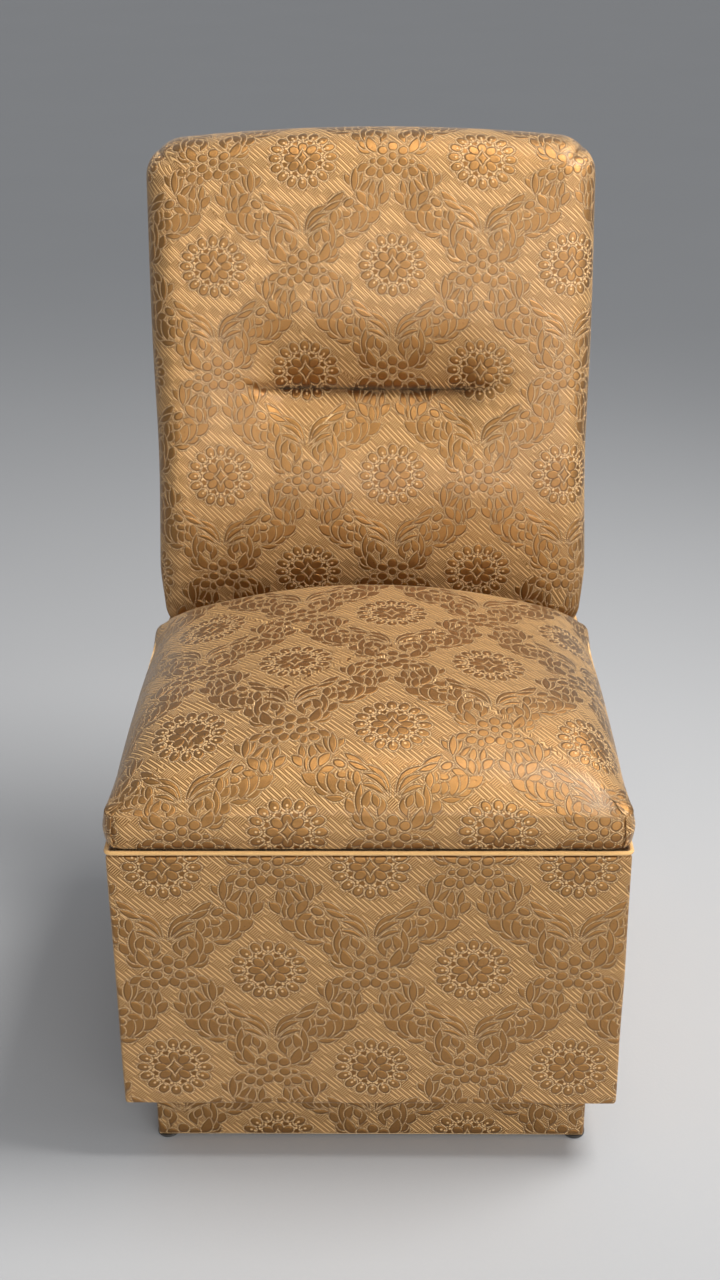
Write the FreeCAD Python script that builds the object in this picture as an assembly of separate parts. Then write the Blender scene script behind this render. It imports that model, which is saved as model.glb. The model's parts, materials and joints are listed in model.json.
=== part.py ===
import FreeCAD, Part
import os
import math

os.makedirs("parts", exist_ok=True)
V = FreeCAD.Vector

# ---------------------------------------------------------------- driving dimensions (mm)
# s is the distance behind the front face of the box, x the distance from the middle, z the height.
BOX_W = 530.0            # box over its cover
BOX_D = 580.0            # box over its cover, front to rear
BOX_BOTTOM = 78.0        # underside of the box panels
PANEL_TOP = 388.0        # top edge of the box panels
PANEL = 16.0             # box panel thickness
CLOTH = 2.0              # cover thickness over the box
FLOOR_T = 9.0            # box floor
POST = 25.0              # front corner posts
WELT_R = 2.5             # piping on the top edge of the box

PLINTH_W = 474.0         # plinth over its cover
PLINTH_INSET = 35.0      # plinth set back at front and rear
PLINTH_CLOTH = 1.5
PLINTH_RAIL = 18.0
GLIDE_H = 4.0            # furniture glides lift the plinth off the floor
GLIDE_R = 12.0

LID_W = 524.0            # seat lid over its cover
LID_FRONT = 3.0
LID_REAR = 458.0
LID_BOTTOM = 396.0
LID_CORNER = 32.0        # plan corner radius
LID_ROLL = 29.0          # rolled top edge
CROWN_Z = 507.0          # top of the domed seat
CROWN_S = 235.0
CROWN_R = 1414.0         # radius of the dome
LID_RAIL_W = 45.0
LID_RAIL_H = 30.0
LID_BOARD_T = 6.0

HINGE_S = 463.0          # hinge axis, along x
HINGE_Z = 437.0
HINGE_X = 150.0          # hinge centres, left and right
HINGE_L = 64.0
KNUCKLE_R = 4.5
PIN_R = 2.5
PIN_CLEAR = 0.05
LEAF_T = 1.5
LEAF_LOW = 405.0
RAIL_FRONT = 468.5       # hinge rail
RAIL_REAR = 489.0
RAIL_LOW = 340.0
RAIL_TOP = 430.0
RAIL_CLOTH = 1.0

BACK_W = 535.0           # back over its cover
BACK_P = (578.0, 398.0)  # foot of the rear face of the back (s, z)
BACK_RECLINE = 11.0      # degrees
BACK_H = 603.0           # along the recline
PLEAT_Z = 295.0          # stitched pull-in, along the recline
BACK_TOP_R = 40.0        # rounded top corners, seen from the front
BACK_SIDE_R = 30.0       # rounded front corners, seen from above
BACK_BOTTOM_Z = 394.0
STILE_X0, STILE_X1 = 219.0, 247.0
FRAME_FRONT, FRAME_REAR = -34.0, -4.0   # back frame, measured from the rear face
CAVITY_FRONT = -40.0                    # rear face of the back foam

# ---------------------------------------------------------------- helpers


def box(x0, x1, s0, s1, z0, z1):
    return Part.makeBox(x1 - x0, s1 - s0, z1 - z0, V(x0, s0, z0))


def rounded(x0, x1, s0, s1, z0, z1, r):
    """Upright prism with rounded corners in plan."""
    b = box(x0, x1, s0, s1, z0, z1)
    up = [e for e in b.Edges if abs(e.Vertexes[0].Z - e.Vertexes[1].Z) > 1e-6]
    return b.makeFillet(r, up)


def both(shape):
    """The shape and its mirror image across the middle."""
    return [shape, shape.mirror(V(0, 0, 0), V(1, 0, 0))]


def mirrored(shape):
    return shape.mirror(V(0, 0, 0), V(1, 0, 0))


def group(shapes):
    return Part.makeCompound(shapes)


def rod(p, d, r, length):
    return Part.makeCylinder(r, length, V(*p), V(*d))


TH = math.radians(BACK_RECLINE)


def recl(y, z):
    """Back coordinates (y from the rear face, z along the recline) to (s, z)."""
    return (BACK_P[0] + y * math.cos(TH) + z * math.sin(TH),
            BACK_P[1] - y * math.sin(TH) + z * math.cos(TH))


def tilt(shape):
    """Stand a shape, made upright with its rear face at s 0 and its foot at z 0, on the recline of the back."""
    out = shape.copy()
    out.rotate(V(0, 0, 0), V(1, 0, 0), -BACK_RECLINE)
    out.translate(V(0, BACK_P[0], BACK_P[1]))
    return out


def prism_x(points, x0, x1):
    """Polygon in (s, z) pulled along x."""
    pts = [V(x0, p[0], p[1]) for p in points]
    face = Part.Face(Part.makePolygon(pts + [pts[0]]))
    return face.extrude(V(x1 - x0, 0, 0))


def wood_screw(p, d, length, r=1.75, head=3.5):
    """Countersunk screw: p is the middle of the flat head, d points into the work."""
    dv = V(*d).normalize()
    cone = Part.makeCone(head, r, head - r, V(*p), dv)
    shank = Part.makeCylinder(r, length - (head - r), V(*p) + dv * (head - r), dv)
    return cone.fuse(shank).removeSplitter()


def cut_all(shape, tools):
    for t in tools:
        shape = shape.cut(t)
    return shape


nodes = {}

HW = BOX_W / 2.0
IN = HW - CLOTH                       # outer face of the box side panels
INNER = IN - PANEL                    # inner face of the box side panels
FRONT_IN = CLOTH + PANEL
REAR_OUT = BOX_D - CLOTH
REAR_IN = REAR_OUT - PANEL
FLOOR_TOP = BOX_BOTTOM + FLOOR_T

# ---------------------------------------------------------------- plinth
PW = PLINTH_W / 2.0
PO = PW - PLINTH_CLOTH
P0, P1 = PLINTH_INSET, BOX_D - PLINTH_INSET
PF, PR = P0 + PLINTH_CLOTH, P1 - PLINTH_CLOTH
front_rail = box(-PO, PO, PF, PF + PLINTH_RAIL, GLIDE_H, BOX_BOTTOM)
rear_rail = box(-PO, PO, PR - PLINTH_RAIL, PR, GLIDE_H, BOX_BOTTOM)
left_rail = box(-PO, -PO + PLINTH_RAIL, PF + PLINTH_RAIL, PR - PLINTH_RAIL, GLIDE_H, BOX_BOTTOM)
right_rail = mirrored(left_rail)

glides = []
for gx in (-PO + PLINTH_RAIL / 2, PO - PLINTH_RAIL / 2):
    for gs in (PF + PLINTH_RAIL / 2, PR - PLINTH_RAIL / 2):
        disc = Part.makeCylinder(GLIDE_R, GLIDE_H, V(gx, gs, 0))
        rim = [e for e in disc.Edges if abs(e.BoundBox.ZMax) < 1e-6 and e.Closed]
        disc = disc.makeFillet(1.5, rim)
        nail = Part.makeCylinder(1.5, 16.0, V(gx, gs, GLIDE_H))
        glides.append(disc.fuse(nail).removeSplitter())

plinth_screws = []
for sx in (-150.0, 0.0, 150.0):
    for ss in (PF + PLINTH_RAIL / 2, PR - PLINTH_RAIL / 2):
        plinth_screws.append(wood_screw((sx, ss, FLOOR_TOP), (0, 0, -1), 45.0, 2.0, 4.0))
for sx in (-PO + PLINTH_RAIL / 2, PO - PLINTH_RAIL / 2):
    for ss in (180.0, 400.0):
        plinth_screws.append(wood_screw((sx, ss, FLOOR_TOP), (0, 0, -1), 45.0, 2.0, 4.0))

blocks = []
BL = 30.0
for sx in (-1, 1):
    for s0 in (PF + PLINTH_RAIL, PR - PLINTH_RAIL - BL):
        xa = sx * (PO - PLINTH_RAIL)
        xb = sx * (PO - PLINTH_RAIL - BL)
        ya = s0 if s0 < 300 else s0 + BL      # the corner against the rails
        yb = s0 + BL if s0 < 300 else s0
        tri = Part.Face(Part.makePolygon([V(xa, ya, 12), V(xb, ya, 12), V(xa, yb, 12), V(xa, ya, 12)]))
        blocks.append(tri.extrude(V(0, 0, 60.0)))

nodes["plinth_front_rail"] = cut_all(front_rail, glides + plinth_screws)
nodes["plinth_rear_rail"] = cut_all(rear_rail, glides + plinth_screws)
nodes["plinth_left_rail"] = cut_all(left_rail, glides + plinth_screws)
nodes["plinth_right_rail"] = cut_all(right_rail, glides + plinth_screws)
nodes["plinth_corner_blocks"] = group(blocks)
nodes["plinth_screws"] = group(plinth_screws)
nodes["floor_glides"] = group(glides)
nodes["plinth_cover"] = rounded(-PW, PW, P0, P1, GLIDE_H, BOX_BOTTOM - CLOTH, 3.0).cut(
    box(-PO, PO, PF, PR, 0.0, BOX_BOTTOM))

# ---------------------------------------------------------------- box
BOLT_S = 540.0
BOLT_Z = (150.0, 330.0)
bolts, washers, nuts = [], [], []
for side in (-1, 1):
    for bz in BOLT_Z:
        head_x = IN - 0.5                                   # head sunk just under the outer face
        head = Part.makeCylinder(9.0, 4.0, V(side * head_x, BOLT_S, bz), V(-side, 0, 0))
        shank_end = STILE_X0 - 12.0
        shank = Part.makeCylinder(4.0, head_x - 4.0 - shank_end, V(side * (head_x - 4.0), BOLT_S, bz), V(-side, 0, 0))
        bolts.append(head.fuse(shank).removeSplitter())
        ring = Part.makeCylinder(8.5, 1.6, V(side * STILE_X0, BOLT_S, bz), V(-side, 0, 0)).cut(
            Part.makeCylinder(4.2, 10.0, V(side * (STILE_X0 + 4), BOLT_S, bz), V(-side, 0, 0)))
        washers.append(ring)
        hexa = []
        for k in range(6):
            a = math.radians(60 * k + 30)
            hexa.append(V(side * (STILE_X0 - 1.6), BOLT_S + 7.5 * math.cos(a), bz + 7.5 * math.sin(a)))
        nut = Part.Face(Part.makePolygon(hexa + [hexa[0]])).extrude(V(-side * 6.5, 0, 0))
        nuts.append(nut.cut(Part.makeCylinder(4.0, 30.0, V(side * (STILE_X0 + 5), BOLT_S, bz), V(-side, 0, 0))))

panel_screws = []
for side in (-1, 1):
    for pz in (120.0, 233.0, 345.0):
        px = side * (IN - PANEL / 2)
        panel_screws.append(wood_screw((px, CLOTH, pz), (0, 1, 0), 45.0, 2.0, 4.0))
        panel_screws.append(wood_screw((px, REAR_OUT, pz), (0, -1, 0), 45.0, 2.0, 4.0))
rail_screws = []
for side in (-1, 1):
    for pz in (352.0, 374.0):
        rail_screws.append(wood_screw((side * IN, (RAIL_FRONT + RAIL_REAR) / 2, pz), (-side, 0, 0), 50.0, 2.0, 4.0))

floor = box(-INNER, INNER, FRONT_IN, REAR_IN, BOX_BOTTOM, FLOOR_TOP)
nodes["box_floor_panel"] = cut_all(floor, plinth_screws)
nodes["box_front_panel"] = cut_all(box(-IN, IN, CLOTH, FRONT_IN, BOX_BOTTOM, PANEL_TOP), panel_screws)
nodes["box_rear_panel"] = cut_all(box(-IN, IN, REAR_IN, REAR_OUT, BOX_BOTTOM, PANEL_TOP), panel_screws)
side_panel = box(INNER, IN, FRONT_IN, REAR_IN, BOX_BOTTOM, PANEL_TOP)
recess = []
for side in (-1, 1):
    for bz in BOLT_Z:
        recess.append(Part.makeCylinder(9.0, 4.5, V(side * IN, BOLT_S, bz), V(-side, 0, 0)))
cuts = panel_screws + bolts + recess + rail_screws
nodes["box_right_panel"] = cut_all(side_panel, cuts)
nodes["box_left_panel"] = cut_all(mirrored(side_panel), cuts)
post = box(INNER - POST, INNER, FRONT_IN, FRONT_IN + POST, FLOOR_TOP, PANEL_TOP - 8.0)
nodes["box_corner_posts"] = group(both(post))
nodes["box_panel_screws"] = group(panel_screws)

# piping on the top edge
WC = HW - 1.0                                              # centre line of the piping
WZ = PANEL_TOP + CLOTH + 1.2                              # sewn into the turned edge
wr = 6.0
c = math.sqrt(0.5) * wr
x0, x1, y0, y1 = -WC, WC, 1.0, BOX_D - 1.0
edges = [
    Part.LineSegment(V(0, y0, WZ), V(x1 - wr, y0, WZ)).toShape(),
    Part.Arc(V(x1 - wr, y0, WZ), V(x1 - wr + c, y0 + wr - c, WZ), V(x1, y0 + wr, WZ)).toShape(),
    Part.LineSegment(V(x1, y0 + wr, WZ), V(x1, y1 - wr, WZ)).toShape(),
    Part.Arc(V(x1, y1 - wr, WZ), V(x1 - wr + c, y1 - wr + c, WZ), V(x1 - wr, y1, WZ)).toShape(),
    Part.LineSegment(V(x1 - wr, y1, WZ), V(0, y1, WZ)).toShape(),
]
path = Part.Wire(edges)
circle = Part.Wire([Part.makeCircle(WELT_R, V(0, y0, WZ), V(1, 0, 0))])
half_welt = path.makePipeShell([circle], True, True)
if half_welt.ShapeType != "Solid":
    half_welt = Part.Solid(half_welt)
welt = half_welt.fuse(mirrored(half_welt)).removeSplitter()
nodes["box_top_welt"] = welt

# cover band: turned in over the top edge and under the bottom edge
RIM = PANEL_TOP + CLOTH
outer = rounded(-HW, HW, 0.0, BOX_D, BOX_BOTTOM - CLOTH, RIM, 4.0)
cover = outer.cut(box(-IN, IN, CLOTH, REAR_OUT, BOX_BOTTOM, PANEL_TOP))
cover = cover.cut(box(-INNER, INNER, FRONT_IN, REAR_IN, PANEL_TOP - 1, RIM + 1))
cover = cover.cut(box(-HW + 20, HW - 20, 20, BOX_D - 20, BOX_BOTTOM - CLOTH - 1, BOX_BOTTOM + 1))
nodes["box_cover"] = cover.cut(welt)

# ---------------------------------------------------------------- back frame
stile_pts = [
    (517.0, FLOOR_TOP), (REAR_IN, FLOOR_TOP), (REAR_IN, 392.0),
    recl(FRAME_REAR, 6.0), recl(FRAME_REAR, 583.0), recl(FRAME_FRONT, 583.0), recl(FRAME_FRONT, 10.0),
    (517.0, 375.0),
]
stile_r = prism_x(stile_pts, STILE_X0, STILE_X1)
stile_l = mirrored(stile_r)
DOWEL_R, DOWEL_L = 4.0, 36.0
rail_z = {"back_bottom_rail": (20.0, 60.0), "back_middle_rail": (PLEAT_Z - 22.5, PLEAT_Z + 22.5), "back_top_rail": (538.0, 583.0)}
dowels = []
for lo, hi in rail_z.values():
    for side in (-1, 1):
        for dz in (lo + 12.0, hi - 12.0):
            d = Part.makeCylinder(DOWEL_R, DOWEL_L, V(side * (STILE_X0 - DOWEL_L / 2), (FRAME_FRONT + FRAME_REAR) / 2, dz), V(side, 0, 0))
            dowels.append(tilt(d))
for name, (lo, hi) in rail_z.items():
    r = tilt(box(-STILE_X0, STILE_X0, FRAME_FRONT, FRAME_REAR, lo, hi))
    nodes[name] = cut_all(r, dowels)
nodes["back_stile_right"] = cut_all(stile_r, dowels + bolts)
nodes["back_stile_left"] = cut_all(stile_l, dowels + bolts)
nodes["back_rail_dowels"] = group(dowels)
nodes["stile_bolts"] = group(bolts)
nodes["stile_washers"] = group(washers)
nodes["stile_nuts"] = group(nuts)

# ---------------------------------------------------------------- back upholstery
# front face of the back, bottom to top: (distance in front of the rear face, height along the recline)
FRONT_PTS = [(-50.0, -13.8), (-62.0, 30.0), (-76.0, 80.0), (-87.0, 145.0), (-88.0, 200.0), (-84.0, 250.0), (-79.0, PLEAT_Z),
             (-85.0, 345.0), (-88.0, 420.0), (-85.0, 490.0), (-78.0, 543.0), (-62.0, 579.0), (-36.0, 599.0), (-12.0, 601.0)]


def back_solid(inset, low):
    """The padded back, every face moved in by inset; low is the height of its bottom face above the floor."""
    pts = []
    for i, (y, z) in enumerate(FRONT_PTS):
        if z > 566.0:
            z -= inset * (z - 566.0) / 35.0
            y += inset * (1.0 if y < -40 else 0.0)
        else:
            y += inset
        pts.append((y, z))
    mapped = [V(-300, *recl(y, z)) for y, z in pts]
    curve = Part.BSplineCurve()
    curve.interpolate(mapped)
    top_rear = V(-300, *recl(-inset, 594.0 - inset))
    foot_rear = V(-300, *recl(-inset, -60.0))
    foot_front = V(-300, mapped[0].y, 330.0)
    wire = Part.Wire([
        curve.toShape(),
        Part.makeLine(mapped[-1], top_rear),
        Part.makeLine(top_rear, foot_rear),
        Part.makeLine(foot_rear, foot_front),
        Part.makeLine(foot_front, mapped[0]),
    ])
    solid = Part.Face(wire).extrude(V(600, 0, 0))
    hw = BACK_W / 2.0 - inset
    # outline from the front: rounded top corners
    slab = box(-hw, hw, -200, 200, -200, BACK_H - inset)
    top = [e for e in slab.Edges if abs(e.BoundBox.XLength) < 1e-6 and abs(e.BoundBox.ZLength) < 1e-6
           and e.BoundBox.ZMin > 300]
    slab = tilt(slab.makeFillet(BACK_TOP_R - inset, top))
    # outline from above: rounded front corners
    plan = box(-hw, hw, -92.0 + inset, 200, -200, 900)
    fr = [e for e in plan.Edges if abs(e.BoundBox.XLength) < 1e-6 and abs(e.BoundBox.YLength) < 1e-6
          and e.BoundBox.YMax < 0]
    plan = tilt(plan.makeFillet(BACK_SIDE_R - inset, fr))
    solid = solid.common(slab).common(plan)
    return solid.common(box(-400, 400, 0, 1200, low, 1500))


outer_back = back_solid(0.0, BACK_BOTTOM_Z)
inner_back = back_solid(2.0, BACK_BOTTOM_Z)
foam_back = back_solid(2.15, BACK_BOTTOM_Z + 0.5)
panel_hw = BACK_W / 2.0 - 7.0
panel = box(-panel_hw, panel_hw, -2.0, 0.0, -40.0, 585.0)
pe = [e for e in panel.Edges if abs(e.BoundBox.XLength) < 1e-6 and abs(e.BoundBox.ZLength) < 1e-6 and e.BoundBox.ZMin > 300]
panel = tilt(panel.makeFillet(34.0, pe)).common(box(-400, 400, 0, 1200, BACK_BOTTOM_Z, 1500))
nodes["outside_back_panel"] = panel
nodes["inside_back_cover"] = outer_back.cut(inner_back).cut(panel)
cavity = tilt(box(-STILE_X1, STILE_X1, CAVITY_FRONT, 50.0, -120.0, 584.5))
stay = tilt(box(-122.0, 122.0, -75.0, -39.2, PLEAT_Z - 0.75, PLEAT_Z + 0.75))
nodes["back_foam"] = cut_all(foam_back, [cavity, stay, stile_r, stile_l])
nodes["back_pleat_stay"] = stay.common(foam_back)

strap_v = [tilt(box(xc - 25.0, xc + 25.0, -36.0, -34.0, 24.0, 580.0)) for xc in (-120.0, 0.0, 120.0)]
strap_h = [tilt(box(-243.0, 243.0, -38.0, -36.0, zc - 25.0, zc + 25.0)) for zc in (95.0, 195.0, 385.0, 475.0)]
nodes["back_webbing_upright"] = group(strap_v)
nodes["back_webbing_cross"] = group(strap_h)
nodes["back_hessian"] = tilt(box(-243.0, 243.0, -39.2, -38.0, 22.0, 582.0))
nodes["outside_back_tack_strip"] = tilt(box(-236.0, 236.0, -4.0, -2.0, 564.0, 578.0))

# ---------------------------------------------------------------- hinge rail and hinges


def hinge_screw_spots(xc):
    return [(xc - 22.0, 412.0), (xc, 420.0), (xc + 22.0, 412.0)]


fixed_screws, moving_screws = [], []
for xc in (-HINGE_X, HINGE_X):
    for sx, sz in hinge_screw_spots(xc):
        fixed_screws.append(wood_screw((sx, HINGE_S + KNUCKLE_R - LEAF_T, sz), (0, 1, 0), 18.0, 1.6, 3.0))
        moving_screws.append(wood_screw((sx, HINGE_S - KNUCKLE_R + LEAF_T, sz), (0, -1, 0), 18.0, 1.6, 3.0))

fixed_leaves, moving_leaves, pins = [], [], []
SEG = HINGE_L / 5.0
GAP = 0.2
for xc in (-HINGE_X, HINGE_X):
    left = xc - HINGE_L / 2.0
    fixed = box(left, left + HINGE_L, HINGE_S + KNUCKLE_R - LEAF_T, HINGE_S + KNUCKLE_R, LEAF_LOW, HINGE_Z - 5.5)
    moving = box(left, left + HINGE_L, LID_REAR, HINGE_S - KNUCKLE_R + LEAF_T, LEAF_LOW, HINGE_Z - 5.5)
    for k in range(5):
        a, b = left + k * SEG + GAP, left + (k + 1) * SEG - GAP
        barrel = rod((a, HINGE_S, HINGE_Z), (1, 0, 0), KNUCKLE_R, b - a)
        if k % 2 == 0:
            tab = box(a, b, HINGE_S + KNUCKLE_R - LEAF_T, HINGE_S + KNUCKLE_R, HINGE_Z - 6.0, HINGE_Z)
            fixed = fixed.fuse(barrel.fuse(tab))
        else:
            tab = box(a, b, HINGE_S - KNUCKLE_R, HINGE_S - KNUCKLE_R + LEAF_T, HINGE_Z - 6.0, HINGE_Z)
            moving = moving.fuse(barrel.fuse(tab))
    fixed = fixed.cut(rod((left - 5, HINGE_S, HINGE_Z), (1, 0, 0), PIN_R, HINGE_L + 10)).removeSplitter()
    moving = moving.cut(rod((left - 5, HINGE_S, HINGE_Z), (1, 0, 0), PIN_R + PIN_CLEAR, HINGE_L + 10)).removeSplitter()
    fixed_leaves.append(cut_all(fixed, fixed_screws))
    moving_leaves.append(cut_all(moving, moving_screws))
    pin = rod((left + GAP, HINGE_S, HINGE_Z), (1, 0, 0), PIN_R, HINGE_L - 2 * GAP)
    caps = [rod((left + GAP - 1.5, HINGE_S, HINGE_Z), (1, 0, 0), 3.6, 1.5),
            rod((left + HINGE_L - GAP, HINGE_S, HINGE_Z), (1, 0, 0), 3.6, 1.5)]
    pins.append(pin.fuse(caps[0]).fuse(caps[1]).removeSplitter())
nodes["hinge_fixed_leaves"] = group(fixed_leaves)
nodes["hinge_moving_leaves"] = group(moving_leaves)
nodes["hinge_pins"] = group(pins)
nodes["hinge_rail_leaf_screws"] = group(fixed_screws)
nodes["hinge_lid_leaf_screws"] = group(moving_screws)
hinge_rail = box(-INNER, INNER, RAIL_FRONT, RAIL_REAR, RAIL_LOW, RAIL_TOP)
nodes["hinge_rail"] = cut_all(hinge_rail, fixed_screws + rail_screws)
nodes["hinge_rail_screws"] = group(rail_screws)
cap = box(-INNER, INNER, RAIL_FRONT - RAIL_CLOTH, RAIL_REAR + RAIL_CLOTH, PANEL_TOP, RAIL_TOP + RAIL_CLOTH)
nodes["hinge_rail_cover"] = cut_all(cap.cut(hinge_rail), fixed_screws)

# fixed deck that closes the box between the hinge rail and the back
DECK_TOP = PANEL_TOP
DECK_T = 12.0
deck_wide = box(-INNER, INNER, RAIL_REAR, 516.5, DECK_TOP - DECK_T, DECK_TOP)
deck_mid = box(-STILE_X0 + 0.5, STILE_X0 - 0.5, 516.0, REAR_IN, DECK_TOP - DECK_T, DECK_TOP)
nodes["rear_deck_board"] = deck_wide.fuse(deck_mid).removeSplitter()
deck_cloth = box(-INNER, INNER, RAIL_REAR + RAIL_CLOTH, 516.5, DECK_TOP, DECK_TOP + 1.5).fuse(
    box(-STILE_X0 + 0.5, STILE_X0 - 0.5, 516.0, REAR_IN, DECK_TOP, DECK_TOP + 1.5)).removeSplitter()
nodes["rear_deck_cover"] = deck_cloth

# ---------------------------------------------------------------- box lining
LT = 1.0
lin = [
    box(-INNER + POST, INNER - POST, FRONT_IN, FRONT_IN + LT, FLOOR_TOP + LT, PANEL_TOP - 2),
    box(-STILE_X0, STILE_X0, REAR_IN - LT, REAR_IN, FLOOR_TOP + LT, PANEL_TOP - DECK_T),
]
side_lin = box(INNER - LT, INNER, FRONT_IN + POST, 517.0, FLOOR_TOP + LT, PANEL_TOP - 2)
lin += both(side_lin.cut(hinge_rail).cut(deck_wide))
floor_lin = box(-INNER, INNER, FRONT_IN, REAR_IN, FLOOR_TOP, FLOOR_TOP + LT)
floor_lin = cut_all(floor_lin, both(post) + [stile_r, stile_l])
lin.append(floor_lin)
nodes["box_lining"] = group(lin)

# ---------------------------------------------------------------- seat lid


def lid_solid(inset, low):
    b = rounded(-LID_W / 2 + inset, LID_W / 2 - inset, LID_FRONT + inset, LID_REAR - inset, low, 560.0, LID_CORNER - inset)
    ball = Part.makeSphere(CROWN_R - inset, V(0, CROWN_S, CROWN_Z - CROWN_R))
    b = b.common(ball)
    roll = []
    for e in b.Edges:
        if e.BoundBox.ZMin > 440.0:
            roll.append(e)
    return b.makeFillet(LID_ROLL - inset, roll)


lid_outer = lid_solid(0.0, LID_BOTTOM)
lid_inner = lid_solid(2.0, LID_BOTTOM)
seat_space = lid_inner.common(box(-400, 400, -50, 700, LID_BOTTOM + 2.0, 700))
UL_X, UL_0, UL_1 = 250.0, 15.0, 446.5
under = box(-UL_X, UL_X, UL_0, UL_1, LID_BOTTOM, LID_BOTTOM + 2.0)
seat_cover = lid_outer.cut(seat_space).cut(under)
nodes["seat_cover"] = cut_all(seat_cover, moving_screws)

RZ0, RZ1 = LID_BOTTOM + 2.0, LID_BOTTOM + 2.0 + LID_RAIL_H
outline = seat_space.common(box(-400, 400, -50, 700, RZ0, RZ1))
LX, LF, LR = LID_W / 2 - 2.0, LID_FRONT + 2.0, LID_REAR - 2.0
nodes["lid_front_rail"] = outline.common(box(-400, 400, -50, LF + LID_RAIL_W, 0, 700))
nodes["lid_rear_rail"] = cut_all(outline.common(box(-400, 400, LR - LID_RAIL_W, 700, 0, 700)), moving_screws)
side_rail = outline.common(box(LX - LID_RAIL_W, 400, LF + LID_RAIL_W, LR - LID_RAIL_W, 0, 700))
nodes["lid_right_rail"] = side_rail
nodes["lid_left_rail"] = mirrored(side_rail)
nodes["lid_board"] = seat_space.common(box(-400, 400, -50, 700, RZ1, RZ1 + LID_BOARD_T))
foam_space = lid_solid(2.15, LID_BOTTOM)
nodes["seat_foam"] = foam_space.common(box(-400, 400, -50, 700, RZ1 + LID_BOARD_T, 700))
nodes["lid_under_lining"] = box(-UL_X, UL_X, UL_0, UL_1, LID_BOTTOM + 1.0, LID_BOTTOM + 2.0)
staples = []
for k in range(12):
    sx = -220.0 + 40.0 * k
    staples += [box(sx - 5, sx + 5, ss - 0.5, ss + 0.5, LID_BOTTOM + 0.4, LID_BOTTOM + 1.0) for ss in (UL_0 + 6.0, UL_1 - 6.0)]
for k in range(9):
    ss = 60.0 + 42.0 * k
    staples += [box(sx - 0.5, sx + 0.5, ss - 5, ss + 5, LID_BOTTOM + 0.4, LID_BOTTOM + 1.0) for sx in (-UL_X + 6.0, UL_X - 6.0)]
nodes["lid_lining_staples"] = group(staples)
pads = []
for side in (-1, 1):
    for ss in (50.0, 410.0):
        pad = Part.makeCylinder(5.5, LID_BOTTOM - RIM - 0.2, V(side * 255.5, ss, RIM + 0.2))
        pads.append(pad)
nodes["lid_resting_pads"] = group(pads)

# ---------------------------------------------------------------- place and write
bb = FreeCAD.BoundBox()
for shape in nodes.values():
    bb.add(shape.optimalBoundingBox(False, False))
shift = V(-(bb.XMin + bb.XMax) / 2.0, -(bb.YMin + bb.YMax) / 2.0, -bb.ZMin)
total = 0
for name, shape in nodes.items():
    shape = shape.copy()
    shape.translate(shift)
    ok = shape.isValid() and len(shape.Solids) > 0
    total += 1
    shape.exportStep("parts/%s.step" % name)
    print("%-26s solids %2d  volume %12.1f  %s" % (name, len(shape.Solids), shape.Volume, "ok" if ok else "BAD"))
print("nodes", total, "size", [round(v, 2) for v in (bb.XLength, bb.YLength, bb.ZLength)])
print("shift", [round(v, 4) for v in (shift.x, shift.y, shift.z)])
print("hinge axis (m)", [0.0, round((HINGE_S + shift.y) / 1000.0, 6), round((HINGE_Z + shift.z) / 1000.0, 6)])
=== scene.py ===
import json
import math

import bpy
import numpy as np
from mathutils import Matrix, Vector
from mathutils.bvhtree import BVHTree

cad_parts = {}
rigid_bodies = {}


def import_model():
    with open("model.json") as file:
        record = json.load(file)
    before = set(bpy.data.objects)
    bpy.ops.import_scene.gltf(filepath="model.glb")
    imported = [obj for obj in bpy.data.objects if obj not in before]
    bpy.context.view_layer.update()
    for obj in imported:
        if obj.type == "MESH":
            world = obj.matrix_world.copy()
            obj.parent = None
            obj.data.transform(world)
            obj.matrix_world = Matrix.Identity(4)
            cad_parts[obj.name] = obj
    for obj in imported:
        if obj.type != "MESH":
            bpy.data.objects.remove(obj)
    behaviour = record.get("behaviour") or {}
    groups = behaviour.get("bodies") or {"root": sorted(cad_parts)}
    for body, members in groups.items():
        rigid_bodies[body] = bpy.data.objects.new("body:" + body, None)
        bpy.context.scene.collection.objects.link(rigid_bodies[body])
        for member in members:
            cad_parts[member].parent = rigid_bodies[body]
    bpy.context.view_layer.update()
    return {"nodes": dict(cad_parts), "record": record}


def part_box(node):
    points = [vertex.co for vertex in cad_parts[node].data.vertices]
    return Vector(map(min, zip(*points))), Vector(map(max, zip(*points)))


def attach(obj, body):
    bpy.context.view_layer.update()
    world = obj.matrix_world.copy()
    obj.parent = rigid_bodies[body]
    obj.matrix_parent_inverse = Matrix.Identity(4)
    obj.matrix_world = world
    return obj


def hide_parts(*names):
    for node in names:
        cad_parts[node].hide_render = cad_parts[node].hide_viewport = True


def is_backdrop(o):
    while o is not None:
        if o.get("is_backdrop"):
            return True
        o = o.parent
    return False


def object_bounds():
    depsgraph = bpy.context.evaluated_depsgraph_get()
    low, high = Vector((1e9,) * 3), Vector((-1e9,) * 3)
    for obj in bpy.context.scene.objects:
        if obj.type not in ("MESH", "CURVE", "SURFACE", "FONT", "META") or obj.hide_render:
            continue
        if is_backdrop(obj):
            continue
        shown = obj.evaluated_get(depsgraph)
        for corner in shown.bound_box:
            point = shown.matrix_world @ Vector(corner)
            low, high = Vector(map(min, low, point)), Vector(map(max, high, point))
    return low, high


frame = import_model()
scene = bpy.context.scene
nodes = frame["nodes"]

# The chair's own measures, in metres: x from the middle, s behind the front face of the box, z above the floor.
FRONT_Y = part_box("box_cover")[0].y
RECLINE = math.radians(11.0)
FOOT_S, FOOT_Z = 0.578, 0.398


def world(x, s, z):
    return np.stack([x, s + FRONT_Y, z], -1)


def reclined(x, t, h):
    """Back coordinates, t in front of the rear face and h along the recline, to the room."""
    c, d = math.cos(RECLINE), math.sin(RECLINE)
    return world(x, FOOT_S - t * c + h * d, FOOT_Z + t * d + h * c)


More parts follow.
